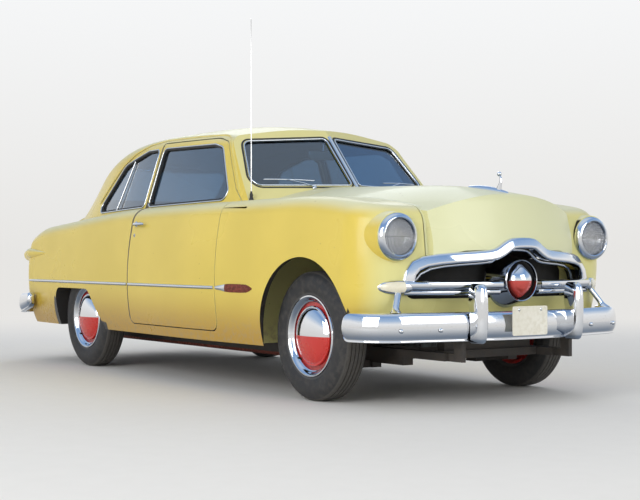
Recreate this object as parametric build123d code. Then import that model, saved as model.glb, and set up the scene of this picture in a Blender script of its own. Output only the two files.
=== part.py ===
from build123d import *
import math
import os

# A two-door saloon car of about 1950, in millimetres, +X forward, +Y to its left, +Z up.
# The origin is on the ground at mid length. The car stands on its wheels, steering straight.

# Driving dimensions of the whole car
wheelbase = 2896.0
front_axle_x = 1570.0
rear_axle_x = front_axle_x - wheelbase
tread = 1422.0
wheel_z = 349.0
panel_gap = 6.0
seat_gap = 0.3
skin = 34.0

# Wheels and tyres
tyre_radius = wheel_z
tyre_width = 168.0
rim_radius = 200.0
rim_width = 128.0
drum_radius = 140.0
spindle_radius = 22.0
kingpin_y = 615.0
kingpin_radius = 24.0
kingpin_half = 143.5

# Shell openings and panel lines
cowl_x = 1030.0
firewall_x = 985.0
firewall_thick = 25.0
door_front_x = 745.0
door_rear_x = -440.0
door_bottom_z = 345.0
cabin_half = 800.0
floor_z = 320.0
body_bottom_z = 280.0
seat_bulkhead_x = -1500.0
kick_up_z = 540.0
boot_floor_z = 420.0
floor_thick = 20.0
hood_half_rear = 575.0
trunk_half = 520.0
trunk_front_x = -2080.0
pin_radius = 2.5
door_pin_x, door_pin_y = door_front_x + 3.0, 902.0
lid_pin_x, lid_pin_z = trunk_front_x + 3.0, 1033.5
hood_pin_x, hood_pin_z = 1027.0, 1191.5
hood_half_front = 500.0
trunk_lip_z = 560.0

# Level outlines of the wings and sides: height, nose, front corner x and y, widest half,
# rear corner x and y, tail, front corner radius, rear corner radius
LEVELS = [
    (body_bottom_z, 2170, 2040, 820, 878, -2330, 780, -2370, 200, 130),
    (450, 2260, 2130, 848, 908, -2364, 824, -2398, 240, 140),
    (650, 2290, 2178, 860, 915, -2380, 836, -2414, 250, 150),
    (850, 2268, 2176, 856, 900, -2370, 824, -2404, 225, 160),
    (1050, 2240, 2160, 826, 866, -2326, 790, -2360, 210, 170),
    (1250, 2205, 2130, 790, 826, -2266, 750, -2304, 200, 180),
]

# Top line of the wings seen from the side, with a soft round at each point but the ends
WING_TOP = [(2700, 915), (1800, 1106), (-700, 1092), (-2130, 995), (-2700, 765)]
wing_top_radii = [3500, 9000, 700]
shoulder_radius = 110.0

# Cross-sections of the bonnet bulge: station, crown height, half width, edge height
HOOD_SECTIONS = [
    (2480, 1075, 470, 985),
    (2200, 1122, 490, 1010),
    (1900, 1160, 520, 1040),
    (1500, 1180, 550, 1055),
    (1000, 1196, 600, 1075),
    (600, 1196, 640, 1080),
]

# Cross-sections of the cabin: station, roof height, roof half width at the rail, rail height,
# half width at the belt, corner radius
CABIN_SECTIONS = [
    (1060, 1490, 565, 1448, 715, 85),
    (700, 1542, 600, 1482, 755, 95),
    (250, 1610, 612, 1530, 778, 115),
    (-250, 1640, 612, 1552, 786, 130),
    (-750, 1636, 604, 1542, 782, 140),
    (-1150, 1600, 580, 1492, 760, 150),
    (-1480, 1500, 538, 1388, 724, 150),
    (-1750, 1332, 472, 1232, 656, 120),
    (-1990, 1112, 376, 1082, 566, 40),
    (-2075, 1040, 330, 1028, 520, 12),
]


def level_outline(z, nose, fx, fy, wide, rx, ry, tail, rf, rr):
    """Closed level curve of the lower body at height z."""
    widest_x = 450.0
    corners = [
        (nose, 0), (fx, fy), (widest_x, wide), (rx, ry), (tail, 0), (rx, -ry), (widest_x, -wide), (fx, -fy),
    ]
    radii = [900, rf, 7000, rr, 1500, rr, 7000, rf]
    return FilletPolyline(*[(x, y, z) for x, y in corners], radius=radii, close=True).wire()


def lower_body():
    """Wings, sides, nose and tail as one closed solid with a round shoulder."""
    walls = Solid.make_loft([level_outline(*row) for row in LEVELS])
    crest = FilletPolyline(*[(x, 0, z) for x, z in WING_TOP], radius=wing_top_radii)
    front, back = WING_TOP[0], WING_TOP[-1]
    under = Polyline((back[0], 0, back[1]), (back[0], 0, 100), (front[0], 0, 100), (front[0], 0, front[1]))
    below_crest = extrude(Face(Wire(crest.edges() + under.edges())), amount=1000, dir=(0, 1, 0), both=True)
    body = common(walls, below_crest)
    rim = [edge for edge in body.edges() if edge.center().Z > 870 and edge.geom_type != GeomType.LINE]
    return body.fillet(shoulder_radius, rim)


def arch_section(x, crown, half, edge, inset=0.0, base=700.0):
    """Closed cross-section with a crowned top."""
    top = ThreePointArc((x, half - inset, edge - inset), (x, 0, crown - inset), (x, inset - half, edge - inset))
    left = Line((x, inset - half, edge - inset), (x, inset - half, base))
    bottom = Line((x, inset - half, base), (x, half - inset, base))
    right = Line((x, half - inset, base), (x, half - inset, edge - inset))
    return Wire([top, left, bottom, right])


nose_x = 2388.0
nose_radius = 1000.0


def nose_drum():
    """Bowed front of the bonnet: its side profile turned about an upright axis."""
    axis_x = nose_x - nose_radius
    profile = FilletPolyline(
        (axis_x, 0, 500), (nose_x, 0, 500), (nose_x - 2, 0, 860), (nose_x - 66, 0, 1104),
        (2000, 0, 1190), (axis_x, 0, 1240), radius=[0.0, 400, 85, 900])
    closed = Wire(list(profile.edges()) + [Line((axis_x, 0, 1240), (axis_x, 0, 500)).edge()])
    return revolve(Face(closed), Axis((axis_x, 0, 0), (0, 0, 1)), 360)


def hood_bulge(inset=0.0):
    wires = [arch_section(x, crown, half, edge, inset) for x, crown, half, edge in HOOD_SECTIONS]
    return Solid.make_loft(wires)


def cabin_shell(inset=0.0):
    wires = []
    for x, roof, rail_half, rail, belt_half, radius in CABIN_SECTIONS:
        half_belt, half_rail = belt_half - inset, rail_half - inset
        top, rail_z = roof - inset, rail - inset
        corner = (x, half_rail, rail_z)
        base_z = 1000.0
        peak = 1.35 * (top - rail_z)
        roof_radius = 0.55 * half_rail * half_rail / peak
        path = FilletPolyline(
            (x, half_belt, base_z), corner, (x, 0, rail_z + peak),
            (x, -half_rail, rail_z), (x, -half_belt, base_z),
            radius=[radius, roof_radius, radius],
        )
        foot = Line((x, -half_belt, base_z), (x, half_belt, base_z))
        wires.append(Wire(list(path.edges()) + [foot.edge()]))
    return Solid.make_loft(wires)


def block(x0, x1, y0, y1, z0, z1):
    """Box between two corners."""
    return Pos((x0 + x1) / 2, (y0 + y1) / 2, (z0 + z1) / 2) * Box(abs(x1 - x0), abs(y1 - y0), abs(z1 - z0))


def side_prism(points, radius, y0, y1):
    """Upright outline seen from the side, carried from y0 to y1."""
    outline = FilletPolyline(*[(x, y0, z) for x, z in points], radius=radius, close=True)
    return extrude(Face(Wire(outline.edges())), amount=abs(y1 - y0), dir=(0, 1 if y1 > y0 else -1, 0))


def plan_prism(points, radius, z0, z1):
    """Outline seen from above, carried from z0 up to z1."""
    outline = FilletPolyline(*[(x, y, z0) for x, y in points], radius=radius, close=True)
    return extrude(Face(Wire(outline.edges())), amount=z1 - z0, dir=(0, 0, 1))


def front_prism(points, radius, x0, x1):
    """Outline seen from the front, carried from x0 to x1."""
    outline = FilletPolyline(*[(x0, y, z) for y, z in points], radius=radius, close=True)
    return extrude(Face(Wire(outline.edges())), amount=x1 - x0, dir=(1, 0, 0))


def mirrored(shape):
    return mirror(shape, about=Plane.XZ)


def drum_y(x, z, radius, y0, y1):
    """Round bar along Y."""
    return Pos(x, (y0 + y1) / 2, z) * Rot(90, 0, 0) * Cylinder(radius, abs(y1 - y0))


def drum_x(y, z, radius, x0, x1):
    """Round bar along X."""
    return Pos((x0 + x1) / 2, y, z) * Rot(0, 90, 0) * Cylinder(radius, abs(x1 - x0))


def drum_z(x, y, radius, z0, z1):
    return Pos(x, y, (z0 + z1) / 2) * Cylinder(radius, z1 - z0)


def turned(points, x, y, z):
    """Solid of revolution about the wheel axis; points are (radius, distance outward)."""
    closed = Polyline(*[(r, d, 0) for r, d in points], close=True)
    solid = revolve(Face(Wire(closed.edges())), Axis((0, 0, 0), (0, 1, 0)), 360)
    return Pos(x, y, z) * solid


def offset_outline(points, amount):
    """The outline with every side moved outward by an amount, or inward if negative."""
    area = sum(a[0] * b[1] - b[0] * a[1] for a, b in zip(points, points[1:] + points[:1]))
    turn = 1 if area > 0 else -1
    sides = []
    for (x0, y0), (x1, y1) in zip(points, points[1:] + points[:1]):
        length = math.hypot(x1 - x0, y1 - y0)
        nx, ny = turn * (y1 - y0) / length, -turn * (x1 - x0) / length
        sides.append((nx, ny, nx * x0 + ny * y0 + amount))
    moved = []
    for (a0, b0, c0), (a1, b1, c1) in zip(sides[-1:] + sides[:-1], sides):
        det = a0 * b1 - a1 * b0
        moved.append(((c0 * b1 - c1 * b0) / det, (a0 * c1 - a1 * c0) / det))
    return moved


def gather(found):
    """One solid, or one compound of several."""
    solids = found.solids()
    return solids[0] if len(solids) == 1 else Compound(solids)


def cut(shape, *tools):
    pieces = [solid for tool in tools for solid in tool.solids()]
    solids = []
    for piece in shape.solids():
        result = piece.cut(*pieces)
        solids += result.solids() if hasattr(result, "solids") else ShapeList(result).solids()
    return gather(ShapeList(solids))


def common(shape, tool):
    result = [a.intersect(b) for a in shape.solids() for b in tool.solids()]
    solids = [solid for found in result if found for solid in found.solids()]
    return gather(ShapeList(solids))


def fused(first, *others):
    rest = [solid for other in others for solid in other.solids()]
    solids = first.solids()
    return gather(ShapeList(solids[0].fuse(*solids[1:], *rest).solids()))


PARTS = {}


# Outer skins
outer_low = lower_body()
outer_hood = common(hood_bulge(), nose_drum())
outer_cabin = cabin_shell()

# Windscreen: two flat panes that meet at a middle post, leaning back
screen_foot = (905.0, 1195.0)
screen_head = (590.0, 1530.0)
screen_sweep = 175.0


def screen_half_space(offset):
    """Everything in front of the two screen planes, as two wedges."""
    foot_x, foot_z = screen_foot
    head_x, head_z = screen_head
    run = (head_x - foot_x) / (head_z - foot_z)
    wedges = []
    for side in (1, -1):
        ends = []
        for z in (900.0, 1750.0):
            near = foot_x + run * (z - foot_z) + offset
            far = near - screen_sweep * 900.0 / 650.0
            corners = [
                (near, 0, z), (far, side * 900.0, z), (far + 1200, side * 900.0, z), (near + 1200, 0, z)]
            ends.append(Polyline(*corners, close=True).wire())
        wedges.append(Solid.make_loft(ends, ruled=True))
    return wedges


cabin_out = cut(outer_cabin, *screen_half_space(0.0))

# Hollow of the cabin: straight-faced sections inside the roof, and a box below the belt
LINING = [
    (1010, 1457, 512, 1404, 680), (700, 1500, 545, 1436, 713), (250, 1570, 557, 1480, 738),
    (-250, 1602, 557, 1502, 746), (-750, 1598, 549, 1492, 740), (-1150, 1562, 526, 1444, 716),
    (-1480, 1460, 486, 1342, 678), (-1680, 1336, 442, 1232, 632),
]


def lining_section(x, roof, rail_half, rail, belt_half):
    corners = [
        (belt_half + 12, 984), (rail_half + 0.35 * (belt_half - rail_half), rail - 60),
        (rail_half - 60, rail + 28),
        (0.45 * rail_half, roof - 8), (0, roof),
    ]
    points = corners + [(-y, z) for y, z in reversed(corners[:-1])]
    return Polyline(*[(x, y, z) for y, z in points], close=True).wire()


cabin_upper = Solid.make_loft([lining_section(*row) for row in LINING], ruled=True)
screen_cut = screen_half_space(-skin)
cabin_upper = cut(cabin_upper, *screen_cut)
cabin_box = plan_prism(
    [(firewall_x, cabin_half), (seat_bulkhead_x, cabin_half - 40), (seat_bulkhead_x, 40 - cabin_half),
     (firewall_x, -cabin_half)], 60, floor_z, 985)
roof_hollow = common(cabin_upper, block(seat_bulkhead_x - 200, firewall_x, -900, 900, 984, 1800))
tunnel_cover = block(-1020, firewall_x + 50, -120, 120, floor_z - 5, floor_z + 105)
bell_cover = block(865, firewall_x + 50, -190, 190, floor_z - 5, 540)
seat_step = block(seat_bulkhead_x - 5, -1010, -900, 900, 200, kick_up_z)
cabin_hollow = fused(cut(cabin_box, tunnel_cover, bell_cover, seat_step), roof_hollow)

# Hollow of the engine bay and of the boot
BAY = [(firewall_x + firewall_thick, 845, 862, 720, 1062, 560, 1070, 1150),
       (1700, 850, 860, 715, 1040, 540, 1048, 1130), (2070, 740, 775, 655, 985, 470, 1000, 1085)]


def bay_section(x, foot_half, wide, shoulder, shoulder_z, valley, valley_z, crown):
    corners = [
        (foot_half, 150), (wide, 700), (wide - 25, 900), (shoulder, shoulder_z), (valley, valley_z), (0, crown)]
    points = corners + [(-y, z) for y, z in reversed(corners[:-1])]
    return Polyline(*[(x, y, z) for y, z in points], close=True).wire()


bay_hollow = Solid.make_loft([bay_section(*row) for row in BAY], ruled=True)
nose_hollow = common(side_prism(
    [(2050, 150), (2050, 985), (2200, 972), (2290, 925), (2335, 850), (2345, 150)],
    [1, 1, 100, 80, 60, 1], -380, 380),
    drum_z(nose_x - nose_radius, 0, nose_radius - skin, 100, 1300))
bay_hollow = fused(bay_hollow, nose_hollow)
boot_low = side_prism(
    [(seat_bulkhead_x - 25, 420), (seat_bulkhead_x - 25, 1005), (-1830, 985), (-2150, 880),
     (-2300, 700), (-2385, 420)],
    1, -700, 700)
boot_high = side_prism(
    [(seat_bulkhead_x - 25, 700), (seat_bulkhead_x - 25, 1090), (-1810, 1085), (-2135, 965),
     (-2320, 740), (-2340, 700)],
    1, -480, 480)
boot_hollow = fused(boot_low, boot_high)

# Deck bulge over the boot
deck_profile = side_prism(
    [(-1500, 600), (-1500, 1180), (-1800, 1128), (-2160, 1010), (-2370, 800), (-2425, 600)],
    [0.1, 0.1, 900, 420, 260, 0.1], -620, 620)
deck_front = front_prism([(-610, 560), (-520, 1120), (520, 1120), (610, 560)], [1, 140, 140, 1], -2600, -1400)
outer_deck = common(deck_profile, deck_front)

# Wheel arches
front_arch_x, front_arch_z, front_arch_radius = 1618.0, 362.0, 412.0
front_arch = drum_y(front_arch_x, front_arch_z, front_arch_radius, 560, 1000)
front_arch_slot = block(
    front_arch_x - front_arch_radius, front_arch_x + front_arch_radius, 560, 1000, 100, front_arch_z)
rear_arch = side_prism(
    [(-1725, 100), (-1725, 552), (-1120, 552), (-905, 300), (-890, 100)], [1, 85, 110, 90, 1], 560, 1000)

# Front wings
wing_inner_y = hood_half_rear + panel_gap
wing_front_inner_y = hood_half_front + panel_gap
wing_plan = plan_prism(
    [(door_front_x + panel_gap, 1000), (2600, 1000), (2600, wing_front_inner_y), (2120, wing_front_inner_y),
     (cowl_x, wing_inner_y), (door_front_x + panel_gap, wing_inner_y)], [1, 1, 1, 300, 300, 1], 0, 1400)
wing_left = common(outer_low, wing_plan)
wing_left = cut(wing_left, bay_hollow, front_arch, front_arch_slot,
                block(door_front_x, firewall_x + firewall_thick + 1, 500, 846, 200, 1060))
grille_mouth = front_prism(
    [(-640, 560), (-610, 700), (-400, 764), (400, 764), (610, 700), (640, 560)], 60, 2080, 2600)
lamp_x, lamp_y, lamp_z, lamp_radius = 2212.0, 675.0, 876.0, 120.0
pod = Pos((lamp_x + 1950) / 2, lamp_y, lamp_z) * Rot(0, 90, 0) * Cone(150, lamp_radius + 6, lamp_x - 1950)
wing_left = fused(wing_left, cut(pod, bay_hollow))
lamp_pocket = drum_x(lamp_y, lamp_z, lamp_radius - 8, 2090, lamp_x + 60)
wing_left = cut(wing_left, grille_mouth, lamp_pocket, block(2030, 2600, 500, 1000, 0, 400))
wing_left = cut(wing_left, cabin_out)
for z in (560, 660):
    wing_left = fused(wing_left, drum_z(door_pin_x, door_pin_y, pin_radius, z, z + 40),
                      block(door_pin_x, door_pin_x + 3.05, door_pin_y - 1.5, door_pin_y + 1.5, z, z + 40))
PARTS["front_wing_left"] = wing_left
PARTS["front_wing_right"] = mirrored(wing_left)
pan_half = wing_front_inner_y - seat_gap
front_pan = common(outer_low, block(2160, 2600, -pan_half, pan_half, 440, 700))
front_pan = cut(front_pan, grille_mouth, block(2000, 2185, -700, 700, 300, 900))
PARTS["front_pan"] = front_pan

# Bonnet
hood_plan = plan_prism(
    [(cowl_x, hood_half_rear), (2120, hood_half_front), (2500, hood_half_front), (2500, -hood_half_front),
     (2120, -hood_half_front), (cowl_x, -hood_half_rear)], [40, 300, 1, 1, 300, 40], 700, 1400)
hood_front = front_prism(
    [(-700, 1400), (-700, 770), (-500, 770), (-330, 805), (-120, 812), (-60, 872), (60, 872), (120, 812),
     (330, 805), (500, 770), (700, 770), (700, 1400)], 0.5, 600, 2600)
nose_low = common(outer_low, hood_plan)
hood = fused(nose_low, common(outer_hood, hood_plan))
hood = cut(common(hood, hood_front), bay_hollow)
PARTS["hood"] = hood

# Fixed shell: scuttle, sills, rear quarters, roof and tail
low_back = common(outer_low, block(-2600, door_front_x + panel_gap, -1000, 1000, 0, 1400))
scuttle = common(fused(outer_low, outer_hood), block(
    door_front_x + panel_gap - 1, cowl_x - panel_gap, -wing_inner_y + 2, wing_inner_y - 2, 1000, 1400))
firewall = block(door_front_x, firewall_x + firewall_thick, -844, 844, floor_z - 40, 1040)
shell = fused(low_back, scuttle, firewall, cabin_out, outer_deck)
house_left = drum_y(rear_axle_x, wheel_z, tyre_radius + 56, 572, 900)
house = [house_left, mirrored(house_left)]
shell = cut(shell, cut(cabin_hollow, *house))
shell = cut(shell, cut(boot_hollow, *house))
tunnel = block(-1020, firewall_x + 50, -95, 95, 200, floor_z + 80)
bell_space = block(890, firewall_x + 50, -165, 165, 200, 515)
rear_axle_space = block(-1760, -1000, -590, 590, 200, kick_up_z - 20)
boot_underside = block(-2330, -1780, -650, 650, 200, boot_floor_z - floor_thick)
well_radius = tyre_radius + 34
well_in, well_out = 595.0, 852.0
rear_well = fused(drum_y(rear_axle_x, wheel_z, well_radius, well_in, well_out), block(
    rear_axle_x - well_radius, rear_axle_x + well_radius, well_in, well_out, 150, wheel_z))
shell = cut(shell, boot_underside, rear_well, mirrored(rear_well))
shell = cut(shell, tunnel, bell_space, rear_axle_space, rear_arch, mirrored(rear_arch))

# Window openings
quarter_points = [(-1265, 1086), (-475, 1108), (-475, 1478), (-640, 1478), (-985, 1398)]
quarter_radii = [40, 20, 35, 90, 160]
rear_points = [(-500, 1195), (-455, 1420), (455, 1420), (500, 1195)]
rear_radii = [60, 90, 90, 60]
screen_points = [(22, 1205), (28, 1512), (560, 1480), (650, 1195)]
screen_radii = [25, 25, 60, 50]
side_window_rear = side_prism(quarter_points, quarter_radii, -900, 900)
rear_window = front_prism(rear_points, rear_radii, -2000, -1300)
screen_left = front_prism(screen_points, screen_radii, 380, 1060)

# Doors
door_outline = [
    (door_rear_x, door_bottom_z), (door_front_x, door_bottom_z), (door_front_x, 1095),
    (645, 1180), (420, 1476), (290, 1508), (door_rear_x, 1520),
]
door_radii = [60, 60, 40, 90, 60, 300, 25]


door_space = side_prism(offset_outline(door_outline, panel_gap), door_radii, 300, 1000)
door_prism = side_prism(door_outline, door_radii, 300, 1000)
door_low = common(outer_low, door_prism)
door_high = common(cabin_out, door_prism)
door_left = cut(fused(door_low, door_high), cabin_hollow)
rear_face = plan_prism(
    [(door_rear_x - 50, 910), (door_rear_x, 910), (door_rear_x + 60, 700), (door_rear_x - 50, 700)],
    1, 200, 1130)
door_glass_points = [(-395, 1108), (600, 1122), (375, 1440), (272, 1464), (-395, 1478)]
door_glass_radii = [30, 40, 60, 120, 30]
door_window = side_prism(door_glass_points, door_glass_radii, 300, 1000)
door_left = cut(door_left, rear_face, door_window, block(-450, door_rear_x + 14, 300, 1000, 1105, 1600))
PARTS["door_left"] = door_left
PARTS["door_right"] = mirrored(door_left)

# Boot lid
trunk_side = side_prism(
    [(trunk_front_x, 1400), (trunk_front_x, 958), (-2180, 940), (-2250, trunk_lip_z),
     (-2600, trunk_lip_z), (-2600, 1400)], 1, -trunk_half, trunk_half)
trunk_gap_side = side_prism(
    [(trunk_front_x + panel_gap, 1400), (trunk_front_x + panel_gap, 953), (-2170, 935),
     (-2240, trunk_lip_z - panel_gap), (-2600, trunk_lip_z - panel_gap), (-2600, 1400)],
    1, -trunk_half - panel_gap, trunk_half + panel_gap)
trunk_lid = cut(common(fused(outer_low, outer_deck), trunk_side), boot_hollow)
PARTS["trunk_lid"] = trunk_lid
shell = cut(shell, side_window_rear, rear_window, screen_left, mirrored(screen_left))
shell = cut(shell, door_space, mirrored(door_space), trunk_gap_side)
# Hinge pins: x, y, z, length
PINS = [(lid_pin_x, -400, lid_pin_z, 60), (lid_pin_x, 400, lid_pin_z, 60), (hood_pin_x, 0, hood_pin_z, 80)]
for x, y, z, length in PINS:
    web = block(0, 3.05, y - length / 2, y + length / 2, z - 1.5, z + 1.5)
    web = Pos(x, 0, 0) * web if x < 0 else Pos(x - 3.05, 0, 0) * web
    shell = fused(shell, drum_y(x, z, pin_radius, y - length / 2, y + length / 2), web)
PARTS["body_shell"] = shell


# Glass, each pane seated in its opening
glass_thick = 6.0


def between(shape, start, end, region):
    """The skin of a shape between two shifts, inside a region."""
    return cut(common(Pos(*start) * shape, region), Pos(*end) * shape)


screen_region = front_prism(offset_outline(screen_points, -seat_gap), screen_radii, 380, 1060)
back_wedge = screen_half_space(-22.0)[0]
front_wedge = screen_half_space(-22.0 + glass_thick)[0]
windscreen_left = cut(common(back_wedge, screen_region), front_wedge)
PARTS["windscreen_left"] = windscreen_left
PARTS["windscreen_right"] = mirrored(windscreen_left)
rear_region = front_prism(offset_outline(rear_points, -seat_gap), rear_radii, -2000, -1300)
PARTS["rear_window"] = between(cabin_out, (14, 0, -12), (18, 0, -16), rear_region)
quarter_region = side_prism(offset_outline(quarter_points, -seat_gap), quarter_radii, 300, 1000)
PARTS["quarter_glass_left"] = between(cabin_out, (0, -14, -3), (0, -19, -4), quarter_region)
PARTS["quarter_glass_right"] = mirrored(PARTS["quarter_glass_left"])
door_glass_region = side_prism(offset_outline(door_glass_points, -seat_gap), door_glass_radii, 300, 1000)
PARTS["door_glass_left"] = between(cabin_out, (0, -14, -3), (0, -19, -4), door_glass_region)
PARTS["door_glass_right"] = mirrored(PARTS["door_glass_left"])

# Bumpers: a crowned bar that wraps round the corners
bumper_low_z, bumper_high_z = 345.0, 495.0
bumper_thick = 34.0


def bumper_level(points, radii, z, out, thick):
    """Closed plan band at one height; out moves its face outward along X."""
    sign = 1 if points[1][0] > 0 else -1
    face = FilletPolyline(*[(x + sign * out, y, z) for x, y in points], radius=radii)
    back_points = []
    for x, y in points:
        inward = math.copysign(thick, y) if y else 0.0
        back_points.append((x - sign * thick * (1 if abs(y) < 900 else 0), y - inward))
    back = FilletPolyline(*[(x, y, z) for x, y in back_points], radius=radii)
    ends = [Line(face.edges()[0] @ 0, back.edges()[0] @ 0), Line(face.edges()[-1] @ 1, back.edges()[-1] @ 1)]
    return Wire(list(face.edges()) + list(back.edges()) + [end.edge() for end in ends])


def bumper(points, radii):
    middle = (bumper_low_z + bumper_high_z) / 2
    levels = [
        (bumper_low_z, 0), (bumper_low_z + 35, 16), (middle, 20), (bumper_high_z - 35, 16), (bumper_high_z, 0)]
    wires = [bumper_level(points, radii, z, out, bumper_thick) for z, out in levels]
    return Solid.make_loft(wires, ruled=True)


front_bumper_plan = [
    (2040, 912), (2170, 895), (2300, 785), (2455, 0), (2300, -785), (2170, -895), (2040, -912)]
rear_bumper_plan = [(-2100, 912), (-2412, 893), (-2472, 0), (-2412, -893), (-2100, -912)]
front_bumper = bumper(front_bumper_plan, [220, 260, 1500, 260, 220])
rear_bumper = bumper(rear_bumper_plan, [150, 2500, 150])
PARTS["front_bumper"] = front_bumper
PARTS["rear_bumper"] = rear_bumper
guard_y = 330.0
guard_low_z, guard_high_z = 335.0, 640.0
for name, side in (("left", 1), ("right", -1)):
    guard = Pos(0, side * guard_y, 0) * front_prism(
        [(-32, guard_low_z), (-27, guard_high_z), (27, guard_high_z), (32, guard_low_z)], 22, 2395, 2500)
    guard = cut(guard, Pos(seat_gap, 0, 0) * front_bumper, block(2300, 2404, -1000, 1000, 300, 492))
    PARTS[f"front_guard_{name}"] = guard
    rear_guard = Pos(0, side * guard_y, 0) * front_prism(
        [(-30, guard_low_z), (-25, 600), (25, 600), (30, guard_low_z)], 20, -2500, -2440)
    rear_guard = cut(rear_guard, Pos(-seat_gap, 0, 0) * rear_bumper, block(-2462, -2300, -1000, 1000, 300, 492))
    PARTS[f"rear_guard_{name}"] = rear_guard

# Grille: chrome arch, bowed bar with its end lamps, round housing and spinner
arch_outer = [(-640, 640), (-632, 700), (-590, 752), (-500, 782), (-300, 800), (-130, 808), (-70, 866),
              (70, 866), (130, 808), (300, 800), (500, 782), (590, 752), (632, 700), (640, 640)]
arch_inner = [(-596, 640), (-588, 690), (-555, 722), (-480, 744), (-300, 760), (-150, 766), (-100, 770),
              (100, 770), (150, 766), (300, 760), (480, 744), (555, 722), (588, 690), (596, 640)]


def bowed(radius, thick, face_x, z0, z1):
    """Upright round shell whose face reaches face_x at the middle."""
    axis_x = face_x - radius
    ring = drum_z(axis_x, 0, radius, z0, z1) - drum_z(axis_x, 0, radius - thick, z0 - 1, z1 + 1)
    return gather(ring & block(axis_x + 200, face_x + 10, -1000, 1000, z0 - 5, z1 + 5))


arch_face = [(y, z) for y, z in arch_outer] + [(y, z) for y, z in reversed(arch_inner)]
arch_outline = Polyline(*[(2000, y, z) for y, z in arch_face], close=True)
arch_solid = extrude(Face(arch_outline.wire()), amount=600, dir=(1, 0, 0))
grille_arch = common(bowed(nose_radius + 16, 60, nose_x + 16, 600, 900), arch_solid)
grille_arch = cut(grille_arch, hood, Pos(5, 0, 0) * hood, Pos(0, 0, -5) * hood, wing_left, mirrored(wing_left))
PARTS["grille_arch"] = grille_arch
bar_low_z, bar_high_z = 600.0, 645.0
grille_bar = common(bowed(1355, 34, 2395, bar_low_z, bar_high_z), block(1900, 2600, -790, 790, 500, 700))
housing_z = 650.0
housing_radius = 118.0
cone_x = (2300 + 2408) / 2
cone = Pos(cone_x, 0, housing_z) * Rot(0, 90, 0) * Cone(housing_radius + 30, housing_radius - 2, 108)
cone_room = Pos(cone_x, 0, housing_z) * Rot(0, 90, 0) * Cone(
    housing_radius + 30 + seat_gap, housing_radius - 2 + seat_gap, 108.6)
housing = cone - drum_x(0, housing_z, 88, 2330, 2420)
spinner = drum_x(0, housing_z, 60, 2326, 2400) + Pos(2400, 0, housing_z) * Sphere(60)
grille_bar = cut(grille_bar, cone_room, wing_left, mirrored(wing_left), front_pan)
PARTS["grille_bar"] = grille_bar
PARTS["grille_housing"] = fused(gather(housing), gather(spinner))
PARTS["grille_arch"] = cut(grille_arch, cone_room, grille_bar)

# Lamps
for name, side in (("left", 1), ("right", -1)):
    can = drum_x(side * lamp_y, lamp_z, lamp_radius - 8 - seat_gap, 2092, lamp_x + 4)
    rim = drum_x(side * lamp_y, lamp_z, lamp_radius, lamp_x + seat_gap, lamp_x + 20)
    lens = Pos(lamp_x + 20, side * lamp_y, lamp_z) * Rot(0, 90, 0) * Cone(90, 60, 16)
    PARTS[f"headlamp_{name}"] = gather(gather(can + rim) + lens)
    PARTS[f"tail_lamp_{name}"] = cut(
        drum_x(side * 745, 790, 42, -2484, -2300), Pos(-seat_gap, 0, 0) * outer_low)

# Wheels, tyres, knuckles and axle
TYRE_PROFILE = [
    (rim_radius, -60), (285, -84), (330, -76), (tyre_radius, -52),
    (tyre_radius, 52), (330, 76), (285, 84), (rim_radius, 60),
]
DISC_PROFILE = [
    (rim_radius - seat_gap, -60), (rim_radius - seat_gap, 60), (rim_radius + 8, 66), (rim_radius - 18, 66),
    (rim_radius - 26, 42), (164, 42), (158, 58), (120, 78), (60, 93), (0, 98), (0, 20), (drum_radius + 4, 20),
    (drum_radius + 4, -60),
]
half_tread = tread / 2
WHEELS = [
    ("front_left", front_axle_x, 1), ("front_right", front_axle_x, -1),
    ("rear_left", rear_axle_x, 1), ("rear_right", rear_axle_x, -1),
]
for name, x, side in WHEELS:
    tyre = turned(TYRE_PROFILE, x, half_tread, wheel_z)
    wheel = turned(DISC_PROFILE, x, half_tread, wheel_z)
    wheel = fused(wheel, drum_y(x, wheel_z, drum_radius, half_tread - 58, half_tread + 21))
    wheel = cut(wheel, drum_y(x, wheel_z, spindle_radius + 0.05, half_tread - 70, half_tread - 10))
    PARTS[f"tyre_{name}"] = tyre if side > 0 else mirrored(tyre)
    PARTS[f"wheel_{name}"] = wheel if side > 0 else mirrored(wheel)

spindle = fused(
    drum_z(front_axle_x, kingpin_y, kingpin_radius, wheel_z - kingpin_half, wheel_z + kingpin_half),
    drum_y(front_axle_x, wheel_z, spindle_radius, kingpin_y, half_tread - 15),
    drum_y(front_axle_x, wheel_z, 34, kingpin_y, half_tread - 60),
    block(front_axle_x - 160, front_axle_x - 10, kingpin_y - 12, kingpin_y + 12, wheel_z - 80, wheel_z - 60))
PARTS["knuckle_left"] = spindle
PARTS["knuckle_right"] = mirrored(spindle)

# Chassis: two side rails with cross members, arms to the kingpins and bumper irons
rail_y, rail_half = 370.0, 32.0
rail_low_z, rail_high_z = 195.0, body_bottom_z - seat_gap
rail = block(-2250, 2250, rail_y - rail_half, rail_y + rail_half, rail_low_z, rail_high_z)
frame_left = fused(
    rail,
    block(2200, 2365, rail_y - 12, rail_y + 12, 200, 279),
    block(2300, 2365, rail_y - 12, rail_y + 12, 270, 420),
    block(-2445, -2200, rail_y - 12, rail_y + 12, 200, 275),
    block(-2445, -2408, rail_y - 12, rail_y + 12, 270, 430))
cross = [
    block(x - 35, x + 35, -rail_y, rail_y, rail_low_z + 5, rail_high_z)
    for x in (2100, front_axle_x, 700, -400, -1750, -2150)]
horn_low_z = 238.0
frame = cut(fused(frame_left, mirrored(frame_left), *cross), block(1900, 2400, -500, 500, 100, horn_low_z))
arm_low_z, arm_high_z = wheel_z - kingpin_half - seat_gap, wheel_z + kingpin_half + seat_gap
arm_half = 28.0
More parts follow.
